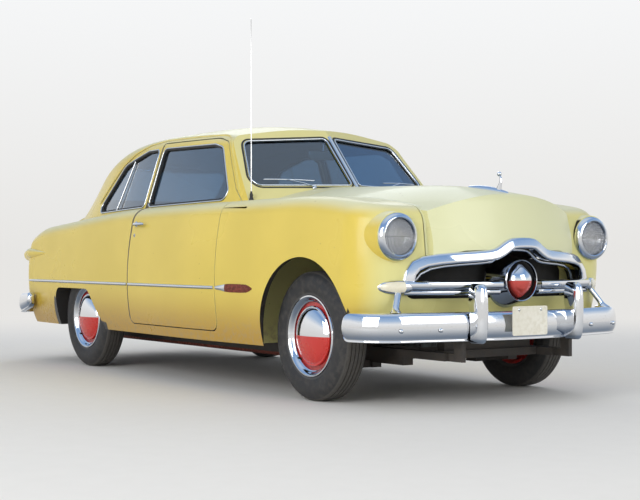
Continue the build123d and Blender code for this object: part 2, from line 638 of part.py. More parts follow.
arm_left = fused(
    block(front_axle_x - 45, front_axle_x + 45, rail_y - 30, rail_y + 30, arm_low_z - 40, arm_high_z + 36),
    block(front_axle_x - arm_half, front_axle_x + arm_half, rail_y, kingpin_y, arm_low_z - 40, arm_low_z),
    drum_z(front_axle_x, kingpin_y, arm_half, arm_low_z - 40, arm_low_z),
    block(front_axle_x - arm_half, front_axle_x + arm_half, rail_y, kingpin_y, arm_high_z, arm_high_z + 36),
    drum_z(front_axle_x, kingpin_y, arm_half, arm_high_z, arm_high_z + 36))
frame = fused(frame, arm_left, mirrored(arm_left))
PARTS["chassis_frame"] = cut(frame, Pos(-seat_gap, 0, 0) * front_bumper, Pos(seat_gap, 0, 0) * rear_bumper)
axle = fused(
    drum_y(rear_axle_x, wheel_z, 38, -half_tread + 62, half_tread - 62),
    drum_y(rear_axle_x, wheel_z, spindle_radius, -half_tread + 15, half_tread - 15),
    Pos(rear_axle_x, 0, wheel_z) * Sphere(130))
PARTS["rear_axle"] = axle
propshaft = drum_x(0, 330, 38, rear_axle_x + 130 + seat_gap, 900)
gearbox = fused(drum_x(0, 330, 90, 900 + seat_gap, 980), block(980, 1150, -150, 150, 230, 500))
PARTS["engine"] = fused(gearbox, block(1149, 1830, -230, 230, rail_high_z + seat_gap, 850))
PARTS["propshaft"] = propshaft
PARTS["radiator"] = block(2060, 2120, -300, 300, rail_high_z + seat_gap, 860)
PARTS["exhaust"] = drum_x(-230, rail_low_z + 5 - seat_gap - 24, 24, -2400, 1100)
tank_top_z = boot_floor_z - floor_thick - seat_gap
PARTS["fuel_tank"] = block(-2180, -1790, -300, 300, rail_high_z + seat_gap, tank_top_z)

# Cabin fittings
PARTS["front_seat"] = fused(
    plan_prism([(250, 640), (250, -640), (-260, -640), (-260, 640)], 60, floor_z + seat_gap, 600),
    side_prism([(-250, 500), (-130, 500), (-260, 980), (-360, 980)], 30, -640, 640))
PARTS["rear_seat"] = fused(
    plan_prism([(-760, 562), (-760, -562), (-1380, -562), (-1380, 562)], 60, kick_up_z + seat_gap, 690),
    side_prism([(-1340, 600), (-1240, 600), (-1360, 1040), (-1460, 1040)], 30, -562, 562),
    block(-1000, -780, -560, 560, floor_z + seat_gap, kick_up_z + 40))
for name in ("front_seat", "rear_seat"):
    PARTS[name] = cut(PARTS[name], block(-1030, 1000, -126, 126, 300, floor_z + 112))
dashboard = side_prism(
    [(700, 940), (690, 1010), (735, 1052), (925, 1052), (925, 940)], [20, 25, 25, 5, 5], -650, 650)
PARTS["dashboard"] = Pos(-seat_gap, 0, -seat_gap) * common(dashboard, cabin_hollow)
wheel_tilt = 32.0
column_x, column_y, column_z = 440.0, 330.0, 960.0
column_dir = (math.cos(math.radians(wheel_tilt)), -math.sin(math.radians(wheel_tilt)))
rim_normal = (-column_dir[0], 0, -column_dir[1])
rim_plane = Plane(origin=(column_x, column_y, column_z), x_dir=(0, 1, 0), z_dir=rim_normal)
rim = Torus(205, 11)
spokes = Box(410, 22, 12) + Box(22, 205, 12).locate(Location((0, -102, 0)))
boss = Cylinder(36, 40)
PARTS["steering_wheel"] = gather(rim_plane * gather(rim + spokes + boss))
column = rim_plane * (Pos(0, 0, -338) * Cylinder(19, 680))
column_hole = rim_plane * (Pos(0, 0, -350) * Cylinder(19 + seat_gap, 680))
PARTS["steering_wheel"] = fused(PARTS["steering_wheel"], gather(column))
PARTS["dashboard"] = cut(PARTS["dashboard"], column_hole)
mirror_stem = common(drum_z(530, 0, 7, 1430, 1560), cabin_hollow)
PARTS["mirror"] = Pos(0, 0, -seat_gap) * fused(block(520, 540, -110, 110, 1380, 1440), mirror_stem)
ornament = side_prism(
    [(1965, 1140), (2275, 1090), (2290, 1112), (2262, 1138), (2240, 1176), (2238, 1206), (2222, 1226),
     (2200, 1226), (2188, 1208), (2200, 1172), (2168, 1150), (1970, 1170)], 2, -13, 13)
PARTS["hood_ornament"] = cut(ornament, hood)
antenna_x, antenna_y = 805.0, -690.0
antenna = fused(
    drum_z(antenna_x, antenna_y, 13, 1078, 1178), drum_z(antenna_x, antenna_y, 2.5, 1170, 2172))
under_antenna = fused(
    common(PARTS["front_wing_right"], block(750, 860, -740, -640, 1000, 1300)),
    common(PARTS["body_shell"], block(750, 860, -740, -640, 1000, 1300)))
antenna = cut(antenna, under_antenna, Pos(0, 0, seat_gap) * under_antenna)
PARTS["antenna"] = max(antenna.solids(), key=lambda solid: solid.volume)
plate = fused(block(2468, 2471, -135, 105, 370, 520), block(2400, 2469, -40, 10, 400, 450))
PARTS["number_plate"] = cut(plate, Pos(seat_gap, 0, 0) * front_bumper, block(2300, 2425, -200, 200, 300, 600))
# Side strips: name, rear end, front end, bottom, top
TRIM = [
    ("rear", -2300, door_rear_x - 8, 586, 606),
    ("door", door_rear_x + 8, door_front_x - 8, 586, 606),
    ("front", door_front_x + 14, 1150, 566, 626),
]
for name, x0, x1, z0, z1 in TRIM:
    raised = common(Pos(0, 8, 0) * outer_low, block(x0, x1, 700, 1000, z0, z1))
    strip = cut(raised, Pos(0, seat_gap, 0) * outer_low)
    PARTS[f"trim_{name}_left"] = strip
    PARTS[f"trim_{name}_right"] = mirrored(strip)

# Like pieces on one body share a node
PAIRS = {
    "windscreen": ["windscreen_left", "windscreen_right"],
    "quarter_glass": ["quarter_glass_left", "quarter_glass_right"],
    "front_guards": ["front_guard_left", "front_guard_right"],
    "rear_guards": ["rear_guard_left", "rear_guard_right"],
    "headlamps": ["headlamp_left", "headlamp_right"],
    "tail_lamps": ["tail_lamp_left", "tail_lamp_right"],
    "side_trim": ["trim_rear_left", "trim_rear_right", "trim_front_left", "trim_front_right"],
}
for name, members in PAIRS.items():
    PARTS[name] = Compound([solid for member in members for solid in PARTS.pop(member).solids()])

PARTS["body_shell"] = cut(PARTS["body_shell"], rim_plane * (Pos(0, 0, -350) * Cylinder(19 + 0.8, 800)))

os.makedirs("parts", exist_ok=True)
for name, solid in PARTS.items():
    export_step(solid, f"parts/{name}.step")
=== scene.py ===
import math

import bpy
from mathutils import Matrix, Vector


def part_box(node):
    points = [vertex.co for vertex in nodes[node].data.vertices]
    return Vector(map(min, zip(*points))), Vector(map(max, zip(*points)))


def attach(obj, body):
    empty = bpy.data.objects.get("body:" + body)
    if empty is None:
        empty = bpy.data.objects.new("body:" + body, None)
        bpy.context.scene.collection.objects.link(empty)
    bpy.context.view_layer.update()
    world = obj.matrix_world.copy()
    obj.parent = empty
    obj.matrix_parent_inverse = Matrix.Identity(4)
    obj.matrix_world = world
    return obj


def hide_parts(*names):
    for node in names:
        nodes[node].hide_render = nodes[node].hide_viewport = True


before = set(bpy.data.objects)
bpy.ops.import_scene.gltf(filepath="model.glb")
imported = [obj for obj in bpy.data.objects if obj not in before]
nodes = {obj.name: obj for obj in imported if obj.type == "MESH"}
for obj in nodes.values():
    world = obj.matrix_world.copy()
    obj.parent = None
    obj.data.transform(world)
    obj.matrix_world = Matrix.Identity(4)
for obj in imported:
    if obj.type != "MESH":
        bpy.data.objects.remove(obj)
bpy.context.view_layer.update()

# Places taken from the frame
front_tyre, rear_tyre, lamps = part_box("tyre_front_left"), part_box("tyre_rear_left"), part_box("headlamps")
axle_height = (front_tyre[1].z - front_tyre[0].z) / 2
front_axle = (front_tyre[0].x + front_tyre[1].x) / 2
rear_axle = (rear_tyre[0].x + rear_tyre[1].x) / 2
lamp_face = lamps[1].x
lamp_centre_y = lamps[1].y - 0.12
lamp_centre_z = (lamps[0].z + lamps[1].z) / 2

# Places and directions stated here; a line towards the car's side starts at BESIDE
SIDES = ((1, "left"), (-1, "right"))
FORWARD = Vector((1, 0, 0))
BESIDE = 1.3
wheel_half_track = 0.711
boss_centre = Vector((2.38, 0.0, 0.65))
TAIL_LAMP_Y, TAIL_LAMP_Z = 0.745, 0.79

# Colours that more than one finish uses
PLATE = (0.8, 0.81, 0.83)
BACKDROP = (0.8, 0.79, 0.77)
LINING_CLOTH = (0.36, 0.33, 0.27)
# Warm colour painted onto the lower sides as painted shade
LOW_SIDE_PAINTED_SHADE = (0.5, 0.3, 0.045)
ROAD_DUST = (0.42, 0.33, 0.2)
RUSTY_CHIP = (0.16, 0.075, 0.035)


# The photograph's camera
def photograph_camera():
    """A long lens low beside the road, off the car's front right corner."""
    width, height, focal, centre_x, centre_y = 640.0, 500.0, 1366.2, 355.2, 260.4
    heading, tilt, roll = math.radians(144.94), math.radians(-0.22), math.radians(0.07)
    bpy.ops.object.camera_add(location=(7.709, -4.792, 0.783), rotation=(math.pi / 2 + tilt, roll,
        heading - math.pi / 2))
    camera = bpy.context.object
    camera.name = "photograph_camera"
    camera.data.sensor_width = 36.0
    camera.data.lens = 36.0 * focal / width
    camera.data.shift_x = -(centre_x - width / 2) / width
    camera.data.shift_y = (centre_y - height / 2) / width
    camera.data.clip_end = 200.0
    bpy.context.scene.camera = camera


# Shading
class Shading:
    """The nodes of a material or world, each made with a short call."""

    def __init__(self, owner):
        owner.use_nodes = True
        self.tree = owner.node_tree
        self.place = self.node("TexCoord").outputs

    def node(self, kind, **settings):
        node = self.tree.nodes.new("ShaderNode" + kind)
        for name, value in settings.items():
            setattr(node, name, value)
        return node

    def feed(self, socket, value):
        """Links a socket or sets it; a tuple is a colour."""
        if isinstance(value, bpy.types.NodeSocket):
            self.tree.links.new(value, socket)
        else:
            socket.default_value = (*value, 1) if isinstance(value, tuple) else value

    def maths(self, operation, *values):
        node = self.node("Math", operation=operation)
        for socket, value in zip(node.inputs, values):
            self.feed(socket, value)
        return node.outputs[0]

    def times(self, first, second):
        return self.maths("MULTIPLY", first, second)

    def plus(self, first, second):
        return self.maths("ADD", first, second)

    def less(self, first, second):
        return self.maths("SUBTRACT", first, second)

    def most(self, first, second):
        return self.maths("MAXIMUM", first, second)

    def length(self, first, second):
        return self.maths("SQRT", self.plus(self.times(first, first), self.times(second, second)))

    def mix(self, fac, first, second):
        node = self.node("Mix", data_type="RGBA")
        for index, value in ((0, fac), (6, first), (7, second)):
            self.feed(node.inputs[index], value)
        return node.outputs[2]

    def spread(self, value, low, high, to_low=0.0, to_high=1.0):
        """A value eased from one range to another."""
        node = self.node("MapRange", interpolation_type="SMOOTHSTEP")
        for name, number in (("Value", value), ("From Min", low), ("From Max", high), ("To Min", to_low),
                ("To Max", to_high)):
            self.feed(node.inputs[name], number)
        return node.outputs["Result"]

    def split(self, name):
        """X, Y and Z of one of the coordinates."""
        node = self.node("SeparateXYZ")
        self.feed(node.inputs[0], self.place[name])
        return node.outputs

    def seen(self):
        """One where the camera looks, straight, in a mirror or through a pane."""
        path = self.node("LightPath").outputs
        return self.most(self.most(path["Is Camera Ray"], path["Is Glossy Ray"]), path["Is Transmission Ray"])


class Finish(Shading):
    """A material and its shader."""

    def __init__(self, name):
        self.material = bpy.data.materials.new(name)
        super().__init__(self.material)
        self.shader = self.tree.nodes["Principled BSDF"]

    def shade(self, inputs):
        for name, value in inputs.items():
            self.feed(self.shader.inputs[name], value)

    def noise(self, scale, detail):
        grain = self.node("TexNoise")
        for name, value in (("Scale", scale), ("Detail", detail), ("Vector", self.place["Object"])):
            self.feed(grain.inputs[name], value)
        return grain.outputs["Fac"]

    def bumped(self, height, strength, distance=0.001):
        bump = self.node("Bump")
        for name, value in (("Strength", strength), ("Distance", distance), ("Height", height)):
            self.feed(bump.inputs[name], value)
        self.feed(self.shader.inputs["Normal"], bump.outputs["Normal"])
        return self.material

    def outward(self, centre):
        """How far the surface faces away from a point: negative on an inner wall."""
        offset, dot = self.node("VectorMath", operation="SUBTRACT"), self.node("VectorMath",
            operation="DOT_PRODUCT")
        self.feed(offset.inputs[0], self.place["Object"])
        offset.inputs[1].default_value = centre
        self.feed(dot.inputs[0], offset.outputs["Vector"])
        self.feed(dot.inputs[1], self.place["Normal"])
        return dot.outputs["Value"]


def darker(colour, *amounts):
    """A colour with each part scaled, by one amount or by one for each part."""
    return tuple(c * a for c, a in zip(colour, amounts * (3 // len(amounts))))


# Stage: pale floor, soft lamps and a pale world
def studio():
    bpy.ops.mesh.primitive_plane_add(size=90, location=(0, 0, 0))
    floor = bpy.context.object
    floor.name = "studio_floor"
    floor.data.materials.append(plain_floor())
    for name, place, aim, size, power in (("near_side_lamp", (5.0, -10.0, 4.2), (0.3, 0, 0.6), 6.0, 500),
            ("front_lamp", (10.0, 1.0, 4.5), (1.0, 0, 0.6), 5.0, 170),
            ("rear_lamp", (-8.0, 5.0, 6.0), (-1.0, 0, 0.6), 5.0, 200),):
        aim_vector = Vector(aim) - Vector(place)
        bpy.ops.object.light_add(type="AREA", location=place, rotation=aim_vector.to_track_quat("-Z",
            "Y").to_euler())
        lamp = bpy.context.object
        lamp.name = name
        lamp.data.size = size
        lamp.data.energy = power
    world = bpy.data.worlds.new("pale_world")
    bpy.context.scene.world = world
    w = Shading(world)
    seen = w.seen()
    sky = w.node("ValToRGB")
    w.feed(sky.inputs["Fac"], w.split("Generated")["Z"])
    steps = sky.color_ramp.elements
    steps[0].position, steps[0].color = 0.0, (*BACKDROP, 1)
    steps[1].position, steps[1].color = 0.2, (0.93, 0.94, 0.95, 1)
    for position, colour in ((0.34, (0.46, 0.6, 0.8, 1)), (0.7, (0.2, 0.36, 0.66, 1)),
            (1.0, (0.62, 0.72, 0.84, 1))):
        steps.new(position).color = colour
    background = w.tree.nodes["Background"].inputs
    w.feed(background["Color"], w.mix(seen, (0.84, 0.87, 0.92), sky.outputs["Color"]))
    w.feed(background["Strength"], w.spread(seen, 0, 1, 0.62, 1.0))
    bpy.context.scene.view_settings.view_transform = "Standard"


# Finishes
def paint(name, side, top, front):
    """Enamel, deep on the sides and dusty low down, with painted light and shade in its colour.

    The cabin's inner walls are lined with cloth, and those outside the cabin are painted near black as
    painted shade, as are faces turned down low and the insides of the wheel arches.
    """
    f = Finish(name)
    spot, facing = f.split("Object"), f.split("Normal")
    clouds = f.noise(1.7, 3.0)
    colour = f.mix(f.spread(clouds, 0.35, 0.68), side, darker(side, 0.93))
    # Painted shade: the lower sides are painted warmer and deeper, standing in for shade and the ground's
    # reflection
    colour = f.mix(f.spread(spot["Z"], 0.62, 0.3), colour, LOW_SIDE_PAINTED_SHADE)
    # Painted light: faces turned up, and everything at roof height, take the pale top colour as if lit by the
    # sky; the same mask makes them rougher
    painted_top_light = f.most(f.spread(facing["Z"], 0.3, 0.95), f.spread(spot["Z"], 1.5, 1.6))
    colour = f.mix(painted_top_light, colour, top)
    # Painted light: faces turned forward take the lighter front colour
    colour = f.mix(f.spread(facing["X"], 0.45, 0.95), colour, front)
    dust = f.noise(38.0, 6.0)
    low_dust = f.times(f.spread(dust, 0.42, 0.7), f.spread(spot["Z"], 0.48, 0.27, 0.0, 0.55))
    colour = f.mix(low_dust, colour, ROAD_DUST)
    chipped = f.times(f.spread(f.noise(62.0, 2.0), 0.735, 0.755), f.spread(f.noise(4.5, 2.0), 0.56, 0.62))
    colour = f.mix(chipped, colour, RUSTY_CHIP)
    cabin_x = f.times(f.spread(spot["X"], 1.0, 0.99), f.spread(spot["X"], -1.51, -1.5))
    beside = f.maths("ABSOLUTE", spot["Y"])
    tunnel = f.times(f.spread(beside, 0.72, 0.71), f.spread(spot["Z"], 0.9, 0.88))
    inner = f.most(f.spread(f.outward((0.0, 0.0, 0.95)), -0.1, -0.16), f.times(tunnel, cabin_x))
    cloth = f.mix(f.noise(240.0, 3.0), LINING_CLOTH, darker(LINING_CLOTH, 0.72))
    # Painted shade: inner walls outside the cabin are painted near black
    inner_painted_shade = f.mix(dust, (0.034, 0.029, 0.021), (0.02, 0.018, 0.014))
    colour = f.mix(inner, colour, f.mix(cabin_x, inner_painted_shade, cloth))
    # Painted shade: faces turned down, low on the body, are painted near black
    painted_underside_shade = f.times(f.spread(facing["Z"], -0.75, -0.9), f.spread(spot["Z"], 0.56, 0.54))
    colour = f.mix(painted_underside_shade, colour, (0.03, 0.027, 0.024))
    # Painted shade: inside each wheel arch, faces turned towards the wheel and the inner walls are painted
    # near black
    for arch_x, arch_z, reach in ((1.618, 0.362, 0.428), (-1.318, 0.335, 0.46)):
        along, up = f.less(spot["X"], arch_x), f.less(spot["Z"], arch_z)
        within = f.spread(f.length(along, up), reach + 0.004, reach)
        towards = f.plus(f.times(facing["X"], along), f.times(facing["Z"], up))
        walls = f.times(f.spread(beside, 0.848, 0.845), f.spread(beside, 0.55, 0.56))
        arch_painted_shade = f.most(f.times(f.spread(towards, -0.06, -0.12), within), f.times(within, walls))
        colour = f.mix(arch_painted_shade, colour, (0.024, 0.022, 0.02))
    dull = f.most(f.most(inner, painted_underside_shade), f.most(low_dust, chipped))
    chalky = f.plus(f.times(dull, 0.45), f.times(painted_top_light, 0.26))
    f.shade({"Base Color": colour, "Roughness": f.plus(f.spread(clouds, 0.2, 0.8, 0.24, 0.36), chalky),
        "Coat Weight": 0.15, "Coat Roughness": 0.1, "Specular IOR Level": 0.32})
    return f.bumped(f.plus(f.noise(3.2, 1.0), f.times(chipped, -0.02)), 0.1, 0.004)


def bright_metal(name, colour=PLATE, rough=(0.04, 0.14)):
    """Plated steel with a light haze and specks of dirt, darker and bluer where it faces down as a painted
    reflection.
    """
    f = Finish(name)
    haze = f.noise(7.0, 5.0)
    # Painted reflection: faces turned down are painted darker and bluer
    painted_down_reflection = f.mix(f.spread(f.split("Normal")["Z"], 0.06, -0.5), colour, darker(colour, 0.3, 0.37, 0.48))
    specks = f.spread(f.noise(150.0, 3.0), 0.66, 0.74, 0.0, 0.5)
    f.shade({"Base Color": f.mix(specks, painted_down_reflection, (0.3, 0.27, 0.23)),
        "Roughness": f.spread(haze, 0.35, 0.75, *rough), "Metallic": 1.0})
    return f.bumped(haze, 0.04, 0.002)


def coloured(name, colour, second, scale, rough, bump, coat=0.0, distance=0.001):
    """Two tones of one finish, broken up by grain."""
    f = Finish(name)
    grain = f.noise(scale, 6.0)
    broad = f.noise(max(scale / 14.0, 1.5), 3.0)
    tone = f.mix(f.spread(grain, 0.38, 0.66), colour, second)
    f.shade({"Base Color": f.mix(f.spread(broad, 0.35, 0.7, 0.0, 0.5), tone, second),
        "Roughness": f.spread(grain, 0.3, 0.7, *rough), "Coat Weight": coat})
    return f.bumped(grain, bump, distance)


def clear_glass(name, tint, rough=(0.0, 0.03), flutes=0.0, gloss=0.0, clear=1.0):
    """Old plate glass: faint patches of dust over the pane, and flutes on a lamp lens."""
    f = Finish(name)
    dust = f.noise(5.0, 6.0)
    f.shade({"Base Color": f.mix(f.spread(dust, 0.55, 0.85, 0.0, 0.12), tint, (0.55, 0.55, 0.52)),
        "Roughness": f.spread(dust, 0.45, 0.85, *rough), "Transmission Weight": clear, "IOR": 1.5,
        "Coat Weight": gloss, "Coat IOR": 1.7, "Coat Roughness": 0.01})
    if flutes:
        wave = f.node("TexWave", bands_direction="Y")
        f.feed(wave.inputs["Scale"], flutes)
        f.feed(wave.inputs["Vector"], f.place["Object"])
        f.bumped(wave.outputs["Fac"], 0.8, 0.003)
    return f.material


def tread_rubber(name, centre_x):
    """Black rubber, dusty on the wall, with fine cross cuts in the tread."""
    f = Finish(name)
    spot = f.split("Object")
    along, up = f.less(spot["X"], centre_x), f.less(spot["Z"], axle_height)
    turn, radius = f.maths("ARCTAN2", up, along), f.length(along, up)
    cuts = f.maths("SINE", f.times(turn, 150.0))
    zigzag = f.maths("SINE", f.plus(f.times(turn, 75.0), f.times(spot["Y"], 420.0)))
    rings = f.maths("SINE", f.times(radius, 900.0))
    on_tread, on_wall = f.spread(radius, 0.336, 0.342), f.spread(radius, 0.262, 0.256)
    dust = f.noise(30.0, 6.0)
    dirt = f.mix(f.spread(dust, 0.38, 0.72), (0.022, 0.022, 0.023), (0.06, 0.056, 0.052))
    bead = f.mix(f.spread(radius, 0.238, 0.225), dirt, (0.085, 0.082, 0.08))
    f.shade({"Base Color": f.mix(on_tread, bead, (0.08, 0.074, 0.066)),
        "Roughness": f.spread(dust, 0.3, 0.7, 0.55, 0.8)})
    lugs = f.times(f.maths("GREATER_THAN", f.most(cuts, zigzag), 0.72), on_tread)
    return f.bumped(f.plus(lugs, f.times(f.times(rings, on_wall), 0.12)), 0.9, 0.003)


def plain_floor():
    """Pale floor that runs out into the backdrop some way behind the car."""
    f = Finish("studio_floor_grey")
    f.shade({"Base Color": f.mix(f.noise(9.0, 6.0), (0.84, 0.82, 0.78), (0.88, 0.86, 0.82)),
        "Roughness": 0.85})
    distance, glow, blend = f.node("VectorMath", operation="LENGTH"), f.node("Emission"), f.node("MixShader")
    f.feed(distance.inputs[0], f.place["Object"])
    f.feed(glow.inputs["Color"], BACKDROP)
    far = f.times(f.spread(distance.outputs["Value"], 3.5, 9.0), f.seen())
    for socket, value in zip(blend.inputs, (far, f.shader.outputs["BSDF"], glow.outputs["Emission"])):
        f.feed(socket, value)
    f.feed(f.tree.nodes["Material Output"].inputs["Surface"], blend.outputs["Shader"])
    return f.material


def woven_cloth(name, colour, second):
    """Broadcloth with a fine cross weave and a soft nap."""
    f = Finish(name)
    spot = f.split("Object")
    warp = f.maths("SINE", f.times(spot["Y"], 1900.0))
    weft = f.maths("SINE", f.times(f.plus(spot["X"], spot["Z"]), 1900.0))
    weave = f.times(warp, weft)
    f.shade({"Base Color": f.mix(f.spread(weave, -0.6, 0.6), f.mix(f.noise(12.0, 5.0), colour, second),
        second), "Roughness": 0.92, "Sheen Weight": 0.35, "Sheen Roughness": 0.5})
    return f.bumped(weave, 0.35, 0.0008)


def two_tone(name, height, red):
    """Plated metal, painted red below a height."""
    f = Finish(name)
    lower, haze = f.spread(f.split("Object")["Z"], height + 0.0006, height - 0.0006), f.noise(9.0, 5.0)
    f.shade({"Base Color": f.mix(lower, PLATE, red)})
    f.bumped(haze, 0.04, 0.002)
    return f, lower, haze


def cap_finish():
    """Hub cap."""
    f, lower, haze = two_tone("two_tone_cap", axle_height, (0.6, 0.03, 0.022))
    f.shade({"Metallic": f.less(1.0, lower), "Coat Weight": 0.3, "Roughness": f.plus(
        f.spread(haze, 0.3, 0.8, 0.05, 0.12), f.times(lower, 0.2))})
    return f.material


def spinner_finish():
    """Bullet in the middle of the grille."""
    f, lower, haze = two_tone("two_tone_spinner", boss_centre.z, (0.62, 0.09, 0.075))
    f.shade({"Metallic": f.spread(lower, 0.0, 1.0, 1.0, 0.45), "Roughness": f.spread(haze, 0.3, 0.8, 0.06,
        0.16)})
    return f.material


# Making by hand
def alone(piece):
    """Makes a piece the active one and the only one selected."""
    bpy.ops.object.select_all(action="DESELECT")
    piece.select_set(True)
    bpy.context.view_layer.objects.active = piece


def start_point(name, place):
    """A single vertex at a place, in edit mode."""
    bpy.ops.object.select_all(action="DESELECT")
    bpy.ops.mesh.primitive_plane_add(size=0.01, location=place)
    piece = bpy.context.object
    piece.name = name
    bpy.ops.object.mode_set(mode="EDIT")
    bpy.ops.mesh.select_all(action="SELECT")
    bpy.ops.mesh.merge(type="CENTER")
    return piece


def drawn_line(name, points, closed=False):
    """A line drawn point by point; leaves the piece in edit mode with all of it selected."""
    points = [Vector(p) for p in points]
    piece = start_point(name, points[0])
    for here, there in zip(points, points[1:]):
        bpy.ops.mesh.extrude_vertices_move(TRANSFORM_OT_translate={"value": there - here})
    bpy.ops.mesh.select_all(action="SELECT")
    if closed:
        bpy.ops.object.mode_set(mode="OBJECT")
        for vertex in piece.data.vertices:
            vertex.select = vertex.index in (0, len(points) - 1)
        bpy.ops.object.mode_set(mode="EDIT")
        bpy.ops.mesh.edge_face_add()
        bpy.ops.mesh.select_all(action="SELECT")
    return piece


def settled(piece, material, smooth):
    """Places the finished piece in its mesh, with smooth shading and its finish."""
    if bpy.context.mode != "OBJECT":
        bpy.ops.object.mode_set(mode="OBJECT")
    alone(piece)
    bpy.ops.object.transform_apply(location=True, rotation=True, scale=True)
    bpy.ops.object.shade_smooth_by_angle(angle=math.radians(smooth))
    piece.data.materials.clear()
    piece.data.materials.append(material)
    return piece


def closed_up():
    bpy.ops.mesh.select_all(action="SELECT")
    bpy.ops.mesh.remove_doubles(threshold=0.00002)
    bpy.ops.mesh.normals_make_consistent(inside=False)


def turned_piece(name, profile, centre, axis, material, steps=72, smooth=35.0):
    """Profile of (radius, distance along the axis) spun about that axis."""
    centre, axis = Vector(centre), Vector(axis).normalized()
    across = Vector((0, 0, 1)) if abs(axis.z) < 0.001 else axis.orthogonal().normalized()
    piece = drawn_line(name, [centre + across * r + axis * d for r, d in profile])
    bpy.ops.mesh.spin(steps=steps, angle=2 * math.pi, center=centre, axis=axis)
    closed_up()
    return settled(piece, material, smooth)


def rod(name, points, radius, material, closed=False, sides=5):
    """Round bar or moulding along a line."""
    piece = drawn_line(name, points, closed)
    bpy.ops.object.mode_set(mode="OBJECT")
    bpy.ops.object.convert(target="CURVE")
    piece.data.bevel_depth = radius
    piece.data.bevel_resolution = sides
    piece.data.use_fill_caps = not closed
    bpy.ops.object.convert(target="MESH")
    bpy.ops.object.mode_set(mode="EDIT")
    closed_up()
    return settled(piece, material, 60.0)


def flat_piece(name, outline, thickness, material):
    """Outline filled and pulled out to its thickness."""
    piece = drawn_line(name, outline, closed=True)
    bpy.ops.mesh.edge_face_add()
    bpy.ops.mesh.extrude_region_move(TRANSFORM_OT_translate={"value": Vector(thickness)})
    closed_up()
    return settled(piece, material, 30.0)


def soft_block(name, low, high, bevel, material, segments=4, smooth=40.0):
    """A block between two corners with every edge rounded."""
    low, high = Vector(low), Vector(high)
    bpy.ops.object.select_all(action="DESELECT")
    bpy.ops.mesh.primitive_cube_add(size=1, location=(low + high) / 2)
    piece = bpy.context.object
    piece.name = name
    piece.scale = high - low
    bpy.ops.object.transform_apply(location=False, rotation=False, scale=True)
    bpy.ops.object.mode_set(mode="EDIT")
    bpy.ops.mesh.select_all(action="SELECT")
    bpy.ops.mesh.bevel(offset=bevel, segments=segments, affect="EDGES")
    closed_up()
    return settled(piece, material, smooth)


def lofted(name, rows, material, smooth=40.0, loop=False):
    """Closed cross-sections joined in turn: both ends filled, or the last joined to the first."""
    count = len(rows[0])
    points = [tuple(p) for row in rows for p in row]
    faces = []
    for i in range(len(rows) if loop else len(rows) - 1):
        here, there = i * count, (i + 1) % len(rows) * count
        for j in range(count):
            k = (j + 1) % count
            faces.append((here + j, here + k, there + k, there + j))
    if not loop:
        faces.append(tuple(range(count)))
        faces.append(tuple(range((len(rows) - 1) * count, len(rows) * count)))
    mesh = bpy.data.meshes.new(name)
    mesh.from_pydata(points, [], faces)
    piece = bpy.data.objects.new(name, mesh)
    bpy.context.scene.collection.objects.link(piece)
    alone(piece)
    bpy.ops.object.mode_set(mode="EDIT")
    closed_up()
    return settled(piece, material, smooth)


def moulding(name, line, normals, section, material, loop=False, sizes=None):
    """A strip of one cross-section carried along a line; the section is (across, out from the panel)."""
    rows = []
    for i, (point, normal) in enumerate(zip(line, normals)):
        if loop:
            before, after = line[i - 1], line[(i + 1) % len(line)]
        else:
            before, after = line[max(i - 1, 0)], line[min(i + 1, len(line) - 1)]
        run = (after - before).normalized()
        across = run.cross(normal).normalized()
        out = across.cross(run)
        size = sizes[i] if sizes else 1.0
        rows.append([point + across * a * size + out * o * min(size, 1.0) for a, o in section])
    return lofted(name, rows, material, 50.0, loop)


def on_skin(node, place, direction):
    """Where a line from a place first meets a panel."""
    hit, point, _, _ = nodes[node].ray_cast(Vector(place), Vector(direction))
    return point if hit else None


def rounded(corners, radius, steps=6):
    """Closed outline in two coordinates with each corner eased by an arc."""
    points = []
    for before, corner, after, r in zip(corners[-1:] + corners[:-1], corners, corners[1:] + corners[:1],
            radius):
        here = Vector(corner)
        a, b = (Vector(before) - here).normalized(), (Vector(after) - here).normalized()
        half = a.angle(b) / 2
        run = r / math.tan(half)
        middle = here + (a + b).normalized() * (r / math.sin(half))
        first, last = here + a * run - middle, here + b * run - middle
        sweep = math.atan2(first.x * last.y - first.y * last.x, first.dot(last))
        for i in range(steps + 1):
            angle = sweep * i / steps
            points.append((middle.x + first.x * math.cos(angle) - first.y * math.sin(angle),
                middle.y + first.x * math.sin(angle) + first.y * math.cos(angle)))
    return points


def spaced(points, step, closed=True):
    """The same line with points no further apart than a step."""
    out = []
    ring = list(points) + ([points[0]] if closed else [])
    for (x0, y0), (x1, y1) in zip(ring, ring[1:]):
        count = max(1, int(math.hypot(x1 - x0, y1 - y0) / step))
        out += [(x0 + (x1 - x0) * i / count, y0 + (y1 - y0) * i / count) for i in range(count)]
    if not closed:
        out.append(points[-1])
    return out


def placed(piece, body, slot, *replaced):
    """Says what a piece rides on and the nodes that it stands in for; its slot is not used."""
    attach(piece, body)
    if replaced:
        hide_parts(*replaced)


def fixed(piece, *replaced):
    """A bright piece of the body itself."""
    placed(piece, "body", "bright_chrome", *replaced)


def mm(*points):
    """Points written in millimetres, as metres."""
    return [tuple(value / 1000 for value in point) for point in points]


def around(count):
    """Angles evenly spaced round a circle."""
    return [2 * math.pi * k / count for k in range(count)]


